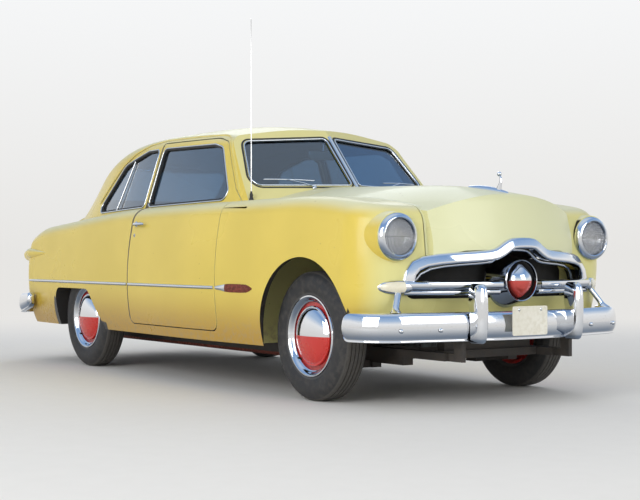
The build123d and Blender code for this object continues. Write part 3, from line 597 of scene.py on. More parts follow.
# The car's finishes
# Painted light: each enamel's second colour is its lit top and its third its lit front, and the bonnet's
# enamel is a paler, lit copy of the side enamel
side_enamel = paint("side_enamel", (0.78, 0.6, 0.105), (0.77, 0.75, 0.47), (0.77, 0.72, 0.3))
bonnet_enamel_painted_pale = paint("bonnet_enamel_painted_pale", (0.77, 0.74, 0.38), (0.74, 0.75, 0.52), (0.76, 0.76, 0.46))
chrome = bright_metal("chrome_plate")
worn_chrome = bright_metal("worn_chrome_trim", (0.78, 0.78, 0.77), (0.1, 0.26))
red_enamel = coloured("wheel_red_enamel", (0.55, 0.035, 0.03), (0.36, 0.022, 0.02), 22, (0.22, 0.38), 0.04,
    coat=0.4)
matt_black = coloured("chassis_black", (0.022, 0.02, 0.019), (0.06, 0.05, 0.042), 14, (0.6, 0.85), 0.3,
    distance=0.002)
seal_rubber = coloured("seal_rubber", (0.02, 0.02, 0.02), (0.045, 0.043, 0.04), 60, (0.55, 0.75), 0.15)
cast_iron = coloured("engine_green_grey", (0.1, 0.12, 0.12), (0.05, 0.05, 0.048), 30, (0.45, 0.7), 0.35,
    distance=0.002)
dash_enamel = coloured("dash_enamel", (0.4, 0.33, 0.2), (0.34, 0.28, 0.16), 26, (0.25, 0.4), 0.03, coat=0.3)
rim_plastic = coloured("wheel_rim_plastic", (0.52, 0.47, 0.36), (0.42, 0.37, 0.27), 24, (0.2, 0.35), 0.03,
    coat=0.3)
plate_enamel = coloured("blank_plate_enamel", (0.9, 0.87, 0.76), (0.8, 0.76, 0.63), 45, (0.35, 0.5), 0.08)
lamp_milk = coloured("parking_lens_milk", (0.86, 0.82, 0.66), (0.78, 0.72, 0.55), 30, (0.15, 0.3), 0.05,
    coat=0.5)
red_lens = coloured("tail_lens_red", (0.42, 0.01, 0.008), (0.28, 0.006, 0.005), 40, (0.08, 0.2), 0.2,
    coat=0.6)
rust = coloured("rusty_trim_end", (0.26, 0.045, 0.022), (0.1, 0.024, 0.014), 90, (0.6, 0.85), 0.5)
reflector = bright_metal("lamp_reflector", (0.94, 0.95, 0.96), (0.38, 0.5))
# Painted reflection: the blue tint of the window glass stands in for the sky reflected in the panes
window_glass = clear_glass("window_glass", (0.2, 0.31, 0.42), gloss=1.0)
lens_glass = clear_glass("fluted_lamp_glass", (0.95, 0.95, 0.95), (0.02, 0.08), 42.0, clear=0.8)
seat_cloth = woven_cloth("seat_broadcloth", (0.3, 0.27, 0.22), (0.19, 0.17, 0.14))
# Near black painted where shade falls in the grille's mouth and the boss's recess
painted_shade_black = coloured("grille_mouth_painted_shade", (0.012, 0.012, 0.012), (0.028, 0.026, 0.024), 20, (0.7, 0.9), 0.1)
gauge_face = coloured("gauge_face", (0.05, 0.05, 0.045), (0.03, 0.03, 0.028), 60, (0.3, 0.4), 0.02)
two_tone_cap = cap_finish()

NODE_FINISHES = [
    (side_enamel, "front_wing_left front_wing_right front_pan door_left door_right trunk_lid body_shell"),
    (bonnet_enamel_painted_pale, "hood"),
    (chrome, "front_bumper rear_bumper front_guards rear_guards grille_arch grille_bar grille_housing"),
    (chrome, "headlamps hood_ornament antenna mirror"),
    (worn_chrome, "side_trim trim_door_left trim_door_right"),
    (red_lens, "tail_lamps"),
    (window_glass, "windscreen rear_window quarter_glass door_glass_left door_glass_right"),
    (matt_black, "knuckle_left knuckle_right chassis_frame rear_axle propshaft fuel_tank radiator"),
    (rust, "exhaust"),
    (cast_iron, "engine"),
    (seat_cloth, "front_seat rear_seat"),
    (dash_enamel, "dashboard"),
    (rim_plastic, "steering_wheel"),
    (plate_enamel, "number_plate"),
]


def finish_nodes():
    finishes = {name: material for material, names in NODE_FINISHES for name in names.split()}
    for name, node in nodes.items():
        material = finishes.get(name, red_enamel if name.startswith("wheel") else seal_rubber)
        node.data.materials.clear()
        node.data.materials.append(material)


# Wheels: tyre with ribs, red disc, plated ring, two-tone cap and valve
TYRE = mm((213, -60), (222, -68), (250, -80.5), (285, -84), (315, -79.5), (333, -68), (342.5, -58),
    (346.5, -52), (347.5, -38), (341.5, -37), (341.5, -33.5), (348.2, -32.5), (348.8, -14), (342, -13),
    (342, -9.5), (348.9, -8.5))
DISC = mm((199, -58), (215, -60), (215, -55), (200, -52), (198.5, 40), (201, 52), (215, 60), (217.5, 64),
    (213, 68), (202, 64), (195, 52), (190, 40), (178, 36), (164, 40), (150, 40), (0, 38), (0, 24), (150, 26),
    (186, 20), (190, -50))
RING = mm((213, 69), (218.5, 66.5), (221, 70), (218.5, 74.5), (212, 75.5), (206, 72), (200, 64), (195, 57),
    (191.5, 53), (188.5, 51.5), (186, 50), (186, 44), (192, 47), (202, 59))
CAP = mm((160, 43), (163, 48), (162, 54), (157.5, 57.5), (152, 57), (149, 60), (144, 65.5), (130, 73),
    (110, 81), (85, 88), (55, 93.5), (25, 96.5), (0, 97.5))


def wheel(corner, x, side):
    """One road wheel with everything that turns with it."""
    body = f"wheel_{corner}"
    centre, axis = Vector((x, side * wheel_half_track, axle_height)), Vector((0, side, 0))
    profile = TYRE + [(r, -d) for r, d in reversed(TYRE)]
    rubber = tread_rubber(f"tyre_rubber_{corner}", x)
    placed(turned_piece(f"road_tyre_{corner}", profile, centre, axis, rubber, 128, 30), body, "tyre_rubber",
        f"tyre_{corner}")
    placed(turned_piece(f"wheel_disc_{corner}", DISC + [DISC[0]], centre, axis, red_enamel, 96), body,
        "wheel_red", f"wheel_{corner}")
    placed(turned_piece(f"trim_ring_{corner}", RING + [RING[0]], centre, axis, chrome, 96), body,
        "bright_chrome")
    placed(turned_piece(f"hub_cap_{corner}", CAP, centre, axis, two_tone_cap, 96), body, "bright_chrome")
    placed(rod(f"valve_stem_{corner}", [centre + axis * 0.04 + Vector((-0.13, 0, -0.13)),
        centre + axis * 0.066 + Vector((-0.124, 0, -0.124))], 0.006, seal_rubber, sides=3), body,
        "tyre_rubber")


# Lamps
def headlamp(side, name):
    """Plated bezel, dished reflector and fluted lens."""
    centre = Vector((lamp_face, side * lamp_centre_y, lamp_centre_z))
    fixed(turned_piece(f"headlamp_bezel_{name}", mm((113, -100), (120.5, -75), (123.5, -50), (122.5, -28),
        (117, -10), (108, -1), (99, 2), (94.5, -1), (92.5, -8), (92, -20), (89, -20), (89, -30), (109, -34),
        (112, -95), (113, -100)), centre, FORWARD, chrome, 96), "headlamps")
    fixed(turned_piece(f"headlamp_dish_{name}", mm((90, -22), (84, -45), (65, -68), (38, -82), (12, -88),
        (0, -89)), centre, FORWARD, reflector, 64))
    placed(turned_piece(f"headlamp_lens_{name}", mm((91.8, -18.5), (88, -12), (70, -4), (45, 2), (20, 4.8),
        (0, 5.5), (0, 1), (43, -3), (69, -9), (86, -17), (91.8, -18.5)), centre, FORWARD, lens_glass, 96),
        "body", "window_glass")
    fixed(rod(f"headlamp_band_{name}", [centre + Vector((-0.01, y, 0)) for y in (-0.084, 0.084)], 0.0022,
        worn_chrome, sides=2))


def parking_lamp(side, name):
    """Rounded end of the grille bar with its pale lens, following the bar round the corner."""
    height, inner_end, shorter = 0.622, 0.645, 0.93
    housing, lens = [], []
    for y, tall, deep in mm((605, 20, 16), (620, 28, 24), (645, 34.5, 31), (675, 37, 33), (705, 35.5, 31),
            (730, 30, 26), (750, 21, 18), (762, 10, 9), (766, 3, 3)):
        x = bar_face(y) - 0.013
        housing.append([(x + deep * math.cos(a), side * y, height + tall * math.sin(a)) for a in around(24)])
        if y > 0.63:
            along = inner_end + (y - inner_end) * shorter
            lens.append([(x + 0.0055 + deep * 0.97 * math.cos(a), side * (along + 0.0045),
                height + tall * 0.84 * math.sin(a)) for a in around(24)])
    fixed(lofted(f"parking_collar_{name}", housing, chrome, 50))
    fixed(lofted(f"parking_lamp_{name}", lens, lamp_milk, 50))


def bar_face(y):
    """How far forward the grille bar's bow reaches."""
    bow_radius = 1.355
    return 2.395 - (bow_radius - math.sqrt(bow_radius ** 2 - y * y))


def nose_face(y):
    """How far forward the nose reaches: a round middle and slanted corners."""
    nose_radius = 1.01
    return max(1.388 + math.sqrt(nose_radius ** 2 - y * y), 2.296 - 0.13 * abs(y))


# Grille
ARCH_TOP = mm((640, 622), (639, 660), (626, 706), (592, 750), (540, 776), (470, 789), (380, 797), (280, 803),
    (215, 808), (180, 815), (155, 827), (130, 843), (105, 858), (80, 868), (45, 872), (0, 873))


def grille_arch():
    """Wide plated moulding over the mouth, peaked over the boss."""
    line = [(-y, z) for y, z in ARCH_TOP] + list(reversed(ARCH_TOP[:-1]))
    section = mm((0, -18), (0, 4), (4, 9), (14, 14), (28, 19), (40, 23.5), (49, 24.5), (55, 20), (57, 11),
        (56, 0), (57, -30), (45, -34))
    rows = []
    for i, (y, z) in enumerate(line):
        before, after = line[max(i - 1, 0)], line[min(i + 1, len(line) - 1)]
        dy, dz = after[0] - before[0], after[1] - before[1]
        length = math.hypot(dy, dz)
        down_y, down_z = dz / length, -dy / length
        if i == len(line) // 2:
            down_y, down_z = 0.0, -1.0
        row = []
        for inward, out in section:
            py, pz = y + down_y * inward, z + down_z * inward
            row.append((nose_face(py) + out, py, pz))
        rows.append(row)
    fixed(lofted("arch_moulding", rows, chrome, 50), "grille_arch")
    fixed(rod("mouth_lip", [(nose_face(y * 0.88) - 0.05, y * 0.88, z - 0.062) for y, z in line[1:-1]], 0.009,
        chrome, sides=4))
    # Painted shade: a dark sheet behind the mouth, painted near black
    stations = [-0.585 + 1.17 * i / 40 for i in range(41)]
    back = []
    for y in stations:
        top = 0.762 - 0.1 * max(0.0, (abs(y) - 0.4) / 0.2) ** 2
        x = min(nose_face(y), 2.36) - 0.15
        back.append([(x, y, 0.5), (x, y, top), (x - 0.01, y, top), (x - 0.01, y, 0.5)])
    placed(lofted("mouth_shade_sheet", back, painted_shade_black, 30), "body", "chassis_black")


def grille_bar():
    """Bowed plated bar with a step along its lower edge."""
    section = mm((-22, 0), (-20, 12), (-10, 21), (4, 24), (16, 20), (23, 8), (23, -14), (-22, -14))
    stations = [-0.64 + 1.28 * i / 48 for i in range(49)]
    for name, keep in (("right", [y for y in stations if y <= -0.128]),
            ("left", [y for y in stations if y >= 0.128])):
        rows = [[(bar_face(y) + out - 0.012, y, 0.628 + up) for up, out in section] for y in keep]
        fixed(lofted(f"bar_upper_{name}", rows, chrome, 40), "grille_bar")
        rows = [[(bar_face(y) + out * 0.55 - 0.026, y, 0.592 + up * 0.62) for up, out in section]
            for y in keep]
        fixed(lofted(f"bar_lower_{name}", rows, chrome, 40))
    for side, name in SIDES:
        rows = []
        for i in range(13):
            t = i / 12
            x, y, z = 2.206 + 0.056 * t, side * (0.665 + 0.063 * t), 0.606 - 0.11 * t
            foot = 1.0 + 0.9 * max(0.0, (t - 0.78) / 0.22) ** 2
            rows.append([(x + 0.017 * foot * math.sin(a), y + 0.02 * foot * math.cos(a), z)
                for a in around(18)])
        fixed(lofted(f"bar_post_{name}", rows, chrome, 50))


def grille_boss():
    """Round plated bowl, its recess painted near black as painted shade, and the pointed two-tone bullet in
    it.
    """
    centre = boss_centre
    fixed(turned_piece("boss_housing", mm((146, -120), (141, -98), (131, -70), (121, -40), (113.5, -14),
        (109.5, 3), (108, 10), (105.5, 12.5), (102.5, 10), (101.5, 4), (99.5, -30), (93, -40), (0, -41),
        (0, -50), (112, -50), (138, -120), (146, -120)), centre, FORWARD, chrome, 96), "grille_housing")
    # Painted shade: the recess behind the bullet is painted near black
    placed(turned_piece("boss_recess_shade", mm((100.5, -4), (98.5, -30), (92, -39), (0, -39.5)), centre, FORWARD,
        painted_shade_black, 64), "body", "chassis_black")
    rows = []
    for out, wide, point in mm((-38.5, 74, 93), (-20, 76.5, 93), (-6, 74.5, 89), (8, 69, 79), (22, 59, 64),
            (34, 46, 48), (43, 31, 31.5), (49, 15, 15), (50.5, 3, 3)):
        ring = []
        for a in around(72):
            reach = wide + (point - wide) * abs(math.sin(a)) ** 14
            ring.append((centre.x + out, reach * math.cos(a), centre.z + reach * math.sin(a)))
        rows.append(ring)
    fixed(lofted("boss_bullet", rows, spinner_finish(), 50))
    for side, name in SIDES:
        fixed(lofted(f"boss_cross_{name}", [[(centre.x + out + dx, side * y, centre.z + dz)
            for dx, dz in ((0.004, 0), (-0.004, half), (-0.01, 0), (-0.004, -half))]
            for y, half, out in ((0.066, 0.0042, -0.002), (0.084, 0.0036, -0.002), (0.101, 0.003, 0.002))],
            chrome, 30))


# Bumper guards, bolts and plate
# Height, half width and face
GUARD = mm((336, 14, 2468), (343, 24, 2480), (362, 31, 2489), (400, 34, 2494), (470, 34, 2498),
    (540, 33, 2499), (590, 31, 2496), (618, 26, 2488), (633, 18, 2476), (639.5, 7, 2462))


def guard(name, y, end, top):
    """Upright bumper guard with a rounded face."""
    foot, full_height = 0.336, 0.64
    scale = (top - foot) / (full_height - foot)
    rows = []
    for z, half, face in GUARD:
        height = foot + (z - foot) * scale
        back = (2.406 if end > 0 else 2.441) if 0.345 < height < 0.497 else (2.392 if end > 0 else 2.425)
        depth = face - back
        ring = [(back + depth * math.sin(a) ** 0.8, half * math.cos(a))
            for a in [math.pi * k / 12 for k in range(13)]]
        rows.append([(end * x, y + dy, height) for x, dy in ring])
    return lofted(name, rows, chrome, 50)


# Height and distance in front of the plan line
BAR = mm((494, -30), (494.8, -12), (492.5, -3), (486, 5), (475, 10.5), (455, 15.5), (435, 18.5), (415, 19.5),
    (395, 17.5), (378, 12.5), (366, 6.5), (359.5, 3), (355, 2.8), (350.5, 5.2), (347, 4.2), (345.5, -1),
    (346, -10), (350, -34), (490, -34))


def bumper_bar(node, corners, radii, shrink, rise):
    """Crowned bar with a rolled lower lip, round at both ends."""
    sign = 1 if corners[2][0] > 0 else -1
    steps, near_ends = 14, (0.0015, 0.004, 0.008, 0.014, 0.022, 0.033)
    end_round, edge_round, taper, mid_height, inside = 0.045, 0.016, 0.3, 0.42, -0.016
    eased = rounded(corners, [0.001] + radii + [0.001], steps)
    line = spaced([corners[0]] + eased[steps + 1:-steps - 1] + [corners[-1]], 0.022, closed=False)
    travelled = [0.0]
    for a, b in zip(line, line[1:]):
        travelled.append(travelled[-1] + math.hypot(b[0] - a[0], b[1] - a[1]))
    full = travelled[-1]
    stops = sorted({*near_ends, *(t for t in travelled if 0.04 < t < full - 0.04),
        *(full - t for t in near_ends)})
    rows = []
    for stop in stops:
        i = max(k for k in range(len(line) - 1) if travelled[k] <= stop)
        t = (stop - travelled[i]) / (travelled[i + 1] - travelled[i])
        x, y = line[i][0] + (line[i + 1][0] - line[i][0]) * t, line[i][1] + (line[i + 1][1] - line[i][1]) * t
        before, after = line[max(i - 1, 0)], line[min(i + 2, len(line) - 1)]
        length = math.hypot(after[0] - before[0], after[1] - before[1])
        nx, ny = -sign * (after[1] - before[1]) / length, sign * (after[0] - before[0]) / length
        end = min(stop, full - stop)
        round_off = math.sqrt(1 - (1 - min(1.0, end / end_round)) ** 2)
        fuller = math.sqrt(1 - (1 - min(1.0, end / edge_round)) ** 2)
        low = 1 - shrink * max(0.0, 1 - end / taper) ** 1.5
        middle = mid_height + rise * (1 - low)
        row = []
        for z, out in BAR:
            reach = inside + (out - inside) * fuller
            row.append((x + nx * reach, y + ny * reach, middle + (z - mid_height) * low
                * (0.35 + 0.65 * round_off)))
        rows.append(row)
    fixed(lofted(f"{node}_bar", rows, chrome, 50), node)


def bumper_dress():
    for name, y in (("left", 0.33), ("right", -0.33)):
        fixed(guard(f"front_guard_{name}", y, 1, 0.64), "front_guards")
        fixed(guard(f"rear_guard_{name}", y, -1, 0.598), "rear_guards")
    for end, node in ((1, "front_bumper"), (-1, "rear_bumper")):
        for y in (0.735, 0.522, -0.522, -0.735):
            face = on_skin(node, (end * 3.0, y, 0.406), (-end, 0, 0))
            fixed(turned_piece(f"{node}_bolt_{'left' if y > 0 else 'right'}_{abs(int(y * 1000))}",
                mm((11.5, -2), (11.5, 2), (8.5, 6), (4, 8), (0, 8.5)), face, (end, 0, 0), worn_chrome, 16))
    bumper_bar("front_bumper", mm((2040, 892.5), (2170, 876), (2297, 772), (2455, 0), (2297, -772),
        (2170, -876), (2040, -892.5)), [0.22, 0.26, 1.5, 0.26, 0.22], 0.0, 0.0)
    bumper_bar("rear_bumper", mm((-2100, 892.5), (-2412, 874), (-2472, 0), (-2412, -874), (-2100, -892.5)),
        [0.15, 2.5, 0.15], 0.3, 0.12)
    plate_low, plate_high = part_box("number_plate")
    y0, y1, z0, z1 = plate_low.y, plate_high.y, plate_low.z, plate_high.z
    ring = rounded([(y0, z0), (y1, z0), (y1, z1), (y0, z1)], [0.01] * 4)
    face = plate_high.x
    placed(flat_piece("blank_number_plate", [(face - 0.003, y, z) for y, z in ring], (0.002, 0, 0),
        plate_enamel), "body", "plate_paint", "number_plate")
    inner = rounded([(y0 + 0.007, z0 + 0.007), (y1 - 0.007, z0 + 0.007), (y1 - 0.007, z1 - 0.007),
        (y0 + 0.007, z1 - 0.007)], [0.007] * 4)
    placed(rod("number_plate_bead", [(face - 0.0012, y, z) for y, z in inner], 0.0014, plate_enamel,
        closed=True, sides=2), "body", "plate_paint")
    for y in (y0 + 0.045, y1 - 0.045):
        fixed(turned_piece(f"plate_screw_{'right' if y < -0.02 else 'left'}",
            mm((7.5, -1), (7.5, 1.2), (4.5, 3), (0, 3.6)), (face - 0.0012, y, z1 - 0.018), (1, 0, 0),
            worn_chrome, 20))
    placed(soft_block("plate_bracket", (2.438, -0.04, 0.4), (face - 0.003, 0.01, 0.45), 0.003, matt_black),
        "body", "chassis_black")
    for side, name in SIDES:
        centre = Vector((-2.478, side * TAIL_LAMP_Y, TAIL_LAMP_Z))
        fixed(turned_piece(f"tail_lamp_bezel_{name}", mm((48, 120), (50, 40), (49, 10), (46, 2), (41, 1),
            (39, 8), (44, 40), (44, 120), (48, 120)), centre, FORWARD, chrome, 48), "tail_lamps")
        placed(turned_piece(f"tail_lamp_lens_{name}", mm((40.5, 10), (37, 0), (28, -6), (15, -9.5),
            (0, -10.5)), centre, FORWARD, red_lens, 48), "body", "red_lens")


# Glass surrounds
SCREEN = mm((22, 1205), (28, 1512), (560, 1480), (650, 1195))
DOOR_GLASS = mm((-395, 1108), (600, 1122), (375, 1440), (272, 1464), (-395, 1478))
QUARTER_GLASS = mm((-1265, 1086), (-475, 1108), (-475, 1478), (-640, 1478), (-985, 1398))
REAR_GLASS = mm((-500, 1195), (-455, 1420), (455, 1420), (500, 1195))
BEAD = mm((-4, -4), (-4.5, 3), (-3, 5.8), (0, 6.8), (3, 5.8), (4.5, 3), (4, -4))
RUBBER = mm((-6, -12), (-6, 1), (-3, 3.5), (3, 3.5), (6, 1), (6, -12))

# How far the windscreen leans back and sweeps round, and how far the cabin's walls lean in
SCREEN_RAKE, SCREEN_SWEEP = 0.9403, 0.2692
WALL_TILT = 0.28


def screen_face(y, z):
    return 0.905 - SCREEN_RAKE * (z - 1.195) - SCREEN_SWEEP * abs(y)


def grown(points, amount):
    """Closed outline moved outward by an amount."""
    area = sum(a[0] * b[1] - b[0] * a[1] for a, b in zip(points, points[1:] + points[:1]))
    turn = 1 if area > 0 else -1
    moved = []
    for i, here in enumerate(points):
        before, after = Vector(points[i - 1]), Vector(points[(i + 1) % len(points)])
        run = (after - before).normalized()
        moved.append((here[0] + turn * run.y * amount, here[1] - turn * run.x * amount))
    return moved


SEAL_AND_BEAD = (("seal", RUBBER, seal_rubber, "chassis_black"), ("bead", BEAD, worn_chrome, "bright_chrome"))


def edging(name, ring, normals, look, body):
    """A closed seal or bead round one pane."""
    section, material, slot = look
    placed(moulding(name, ring, normals, section, material, loop=True), body, slot)


def side_wall(x, z, side):
    """The outer wall of the cabin at one place."""
    for node in ("body_shell", "door_left" if side > 0 else "door_right"):
        point = on_skin(node, (x, side * BESIDE, z), (0, -side, 0))
        if point and abs(point.y) > 0.35:
            return point
    return None


def wall_outline(outline, radii, side, amount):
    """Points of an opening's edge laid on the cabin's wall."""
    line = spaced(rounded(outline, radii, 8), 0.035)
    points = []
    for (x, z), (far_x, far_z) in zip(grown(line, amount), grown(line, amount + 0.006)):
        wall = side_wall(far_x, far_z, side)
        points.append(Vector((x, wall.y, z)) if wall else None)
    known = [i for i, p in enumerate(points) if p]
    for i, (x, z) in enumerate(grown(line, amount)):
        if points[i] is None:
            near = min(known, key=lambda k: min(abs(k - i), len(points) - abs(k - i)))
            points[i] = Vector((x, points[near].y, z))
    return points


def window_surrounds():
    for side, word in SIDES:
        tilt = Vector((1, SCREEN_SWEEP * side, SCREEN_RAKE)).normalized()
        line = spaced(rounded(SCREEN, [0.025, 0.025, 0.06, 0.05], 8), 0.035)
        for (part, *look), amount in zip(SEAL_AND_BEAD, (0.01, -0.002)):
            ring = [Vector((screen_face(y, z), side * y, z)) for y, z in grown(line, amount)]
            edging(f"windscreen_{word}_{part}", ring, [tilt] * len(ring), look, "body")
        face = Vector((0, side, WALL_TILT)).normalized()
        for name, outline, radii, body in (("door_window", DOOR_GLASS, [0.03, 0.04, 0.06, 0.12, 0.03],
                f"door_{word}"), ("quarter_window", QUARTER_GLASS, [0.04, 0.02, 0.035, 0.09, 0.16],
                "body"),):
            for (part, *look), amount in zip(SEAL_AND_BEAD, (0.001, 0.009)):
                ring = wall_outline(outline, radii, side, amount)
                edging(f"{name}_{part}_{word}", ring, [face] * len(ring), look, body)
        low, high = side_wall(-0.905, 1.075, side), side_wall(-0.838, 1.435, side)
        bar_line = [low.lerp(high, t) - Vector((0, side * 0.006, 0)) for t in (0.05, 0.35, 0.65, 0.97)]
        fixed(moulding(f"quarter_divider_{word}", bar_line, [face] * 4, [(a * 1.1, o) for a, o in BEAD],
            worn_chrome))
    foot, head = Vector((screen_face(0, 1.19), 0, 1.19)), Vector((screen_face(0, 1.522), 0, 1.522))
    fixed(moulding("windscreen_post", [foot.lerp(head, t) for t in (0, 0.33, 0.66, 1)],
        [Vector((1, 0, SCREEN_RAKE)).normalized()] * 4, mm((-13, -16), (-11, 4), (-6, 9), (0, 11), (6, 9),
        (11, 4), (13, -16)), worn_chrome))
    line = spaced(rounded(REAR_GLASS, [0.06, 0.09, 0.09, 0.06], 8), 0.035)
    for (part, *look), amount in zip(SEAL_AND_BEAD, (0.004, 0.012)):
        ring, normals = [], []
        for (y, z), (far_y, far_z) in zip(grown(line, amount), grown(line, max(amount, 0.008))):
            hit, point, normal, _ = nodes["body_shell"].ray_cast(Vector((-3.0, far_y, far_z)),
                Vector((1, 0, 0)))
            ring.append(Vector((point.x, y, z)))
            normals.append(normal)
        edging(f"rear_window_{part}", ring, normals, look, "body")


# Gutter over the doors
GUTTER = mm((700, 1150), (668, 1200), (560, 1345), (470, 1462), (430, 1500), (380, 1518), (300, 1530),
    (0, 1540), (-450, 1545), (-660, 1528), (-860, 1478), (-1020, 1408), (-1160, 1288), (-1270, 1175),
    (-1315, 1120))


def gutters():
    for side, word in SIDES:
        line = []
        for (x0, z0), (x1, z1) in zip(GUTTER, GUTTER[1:]):
            for t in (0.0, 0.5):
                point = side_wall(x0 + (x1 - x0) * t, z0 + (z1 - z0) * t, side)
                if point:
                    line.append(point)
        placed(moulding(f"roof_gutter_{word}", line, [Vector((0, side, 0.25)).normalized()] * len(line),
            mm((-7, -3), (-6.5, 7.5), (-3, 10), (1, 9), (1, 4.5), (6, 2), (7, -3)), side_enamel,
            sizes=[0.3] + [1.0] * (len(line) - 2) + [0.3]), "body", "body_paint")


# Side strips
STRIP = mm((-9.8, -2), (-9.5, 3), (-5, 6.6), (0, 7.8), (5, 6.6), (9.5, 3), (9.8, -2))


def strip_line(node, x0, x1, side, height=0.596, step=0.06):
    count = max(2, int(abs(x1 - x0) / step))
    return [on_skin(node, (x0 + (x1 - x0) * i / count, side * BESIDE, height), (0, -side, 0))
        for i in range(count + 1)]


def side_strips():
    for side, word in SIDES:
        outward_side = Vector((0, side, 0))
        for name, node, body, x0, x1, replaced in (("rear_strip", "body_shell", "body", -2.298, -0.45,
                ("side_trim",)), ("door_strip", f"door_{word}", f"door_{word}", -0.43, 0.735,
                (f"trim_door_{word}",)),):
            line = strip_line(node, x0, x1, side)
            sizes = [0.35, 0.8] + [1.0] * (len(line) - 2) if name == "rear_strip" else None
            placed(moulding(f"{name}_{word}", line, [outward_side] * len(line), STRIP, worn_chrome,
                sizes=sizes), body, "bright_chrome", *replaced)
        line = strip_line(f"front_wing_{word}", 0.761, 0.865, side, step=0.01)
        sizes = [1.0 + 1.2 * (i / (len(line) - 1)) ** 1.3 for i in range(len(line))]
        fixed(moulding(f"front_spear_{word}", line, [outward_side] * len(line), STRIP, worn_chrome,
            sizes=sizes))
        line = strip_line(f"front_wing_{word}", 0.866, 1.146, side, step=0.01)
        ragged = [min(2.5, 2.2 + 0.08 * i) for i in range(17)] + [2.4, 2.45, 2.4, 2.3, 2.35, 2.1, 1.9, 1.6,
            1.2, 0.8, 0.5, 0.3, 0.3]
        fixed(moulding(f"spear_end_{word}", line, [outward_side] * len(line), STRIP, rust,
            sizes=ragged[:len(line)]))


# Spears that run back to the tail lamps
def tail_spears():
    for side, word in SIDES:
        rows = []
        for x, reach, tall in mm((-1900, -3, 5), (-2000, 6, 15), (-2100, 14, 26), (-2200, 20, 37),
                (-2270, 22, 43)):
            skin = on_skin("body_shell", (x, side * BESIDE, 0.8), (0, -side, 0))
            centre_y = abs(skin.y) + reach - tall * 0.8
            rows.append((x, centre_y, 0.802, tall, tall))
        rows += [(-2.34, 0.776, 0.798, 0.05, 0.049), (-2.4, 0.752, 0.793, 0.053, 0.052),
            (-2.45, 0.7455, 0.79, 0.052, 0.051), (-2.468, TAIL_LAMP_Y, TAIL_LAMP_Z, 0.0495, 0.0495)]
        rings = [[(x, side * (y + wide * math.cos(a)), z + tall * math.sin(a)
            * (1.0 if math.sin(a) < 0 else 0.9)) for a in around(28)] for x, y, z, wide, tall in rows]
        placed(lofted(f"tail_spear_{word}", rings, side_enamel, 50), "body", "body_paint")


# Handles and locks
def handle(name, body, node, start, run, outward_dir, length):
    """Cast pull handle on one foot with a pad, standing off the panel."""
    foot = on_skin(node, Vector(start) + Vector(outward_dir) * 0.6, -Vector(outward_dir))
    run, out = Vector(run).normalized(), Vector(outward_dir).normalized()
    rise = out.cross(run)
    rows = []
    for t, off, half, deep in ((0.0, -0.004, 0.013, 0.01), (0.02, 0.01, 0.012, 0.01),
            (0.1, 0.028, 0.0105, 0.0085), (0.22, 0.034, 0.01, 0.0075), (0.55, 0.036, 0.0095, 0.0065),
            (0.85, 0.033, 0.0085, 0.006), (1.0, 0.027, 0.005, 0.004)):
        centre = foot + run * (t * length) + out * off
        turn = min(1.0, t * 8)
        ahead = (run * turn + out * (1 - turn)).normalized()
        side = rise.cross(ahead).normalized()
        rows.append([centre + rise * half * math.cos(a) + side * deep * math.sin(a) for a in around(16)])
    placed(lofted(name, rows, chrome, 50), body, "bright_chrome")
    placed(turned_piece(f"{name}_pad", mm((19, -3), (19, 2), (14, 5), (0, 6)), foot, out, chrome, 24), body,
        "bright_chrome")


def lock_face(name, body, node, place, outward_dir):
    point = on_skin(node, Vector(place) + Vector(outward_dir) * 0.6, -Vector(outward_dir))
    placed(turned_piece(name, mm((12.5, -2), (12.5, 1.5), (9.5, 3.5), (7, 3.5), (6.6, 1.5), (0, 1.5)), point,
        outward_dir, worn_chrome, 24), body, "bright_chrome")
    placed(soft_block(f"{name}_slot", point + Vector((-0.0012, -0.0012, -0.0045))
        + Vector(outward_dir) * 0.0018, point + Vector((0.0012, 0.0012, 0.0045))
        + Vector(outward_dir) * 0.0018, 0.0004, matt_black, 1), body, "chassis_black")


def handles():
    for side, word in SIDES:
        handle(f"door_handle_{word}", f"door_{word}", f"door_{word}", (-0.372, side * 0.85, 0.985),
            (1, 0, 0), (0, side, 0), 0.16)
        lock_face(f"door_lock_{word}", f"door_{word}", f"door_{word}", (-0.375, side * 0.85, 0.912),
            (0, side, 0))
    skin = on_skin("trunk_lid", (-3.0, 0, 0.69), (1, 0, 0))
    back = Vector((-1, 0, 0.12)).normalized()
    for name, y in (("left", 0.055), ("right", -0.055)):
        placed(turned_piece(f"boot_handle_stem_{name}", mm((12, -10), (10, 4), (7, 14), (7, 28), (0, 28)),
            skin + Vector((0, y, 0)), back, chrome, 20), "trunk_lid", "bright_chrome")
    placed(lofted("boot_handle_grip", [[skin + back * (0.028 + deep * math.cos(a))
        + Vector((0, y, tall * math.sin(a))) for a in around(16)] for y, deep, tall in mm((-98, 3, 3),
        (-90, 6.5, 9), (-50, 8, 12), (0, 9.5, 15), (50, 8, 12), (90, 6.5, 9), (98, 3, 3))], chrome, 50),
        "trunk_lid", "bright_chrome")
    lock_face("boot_lock", "trunk_lid", "trunk_lid", (-2.2, 0, 0.64), (-1, 0, 0))


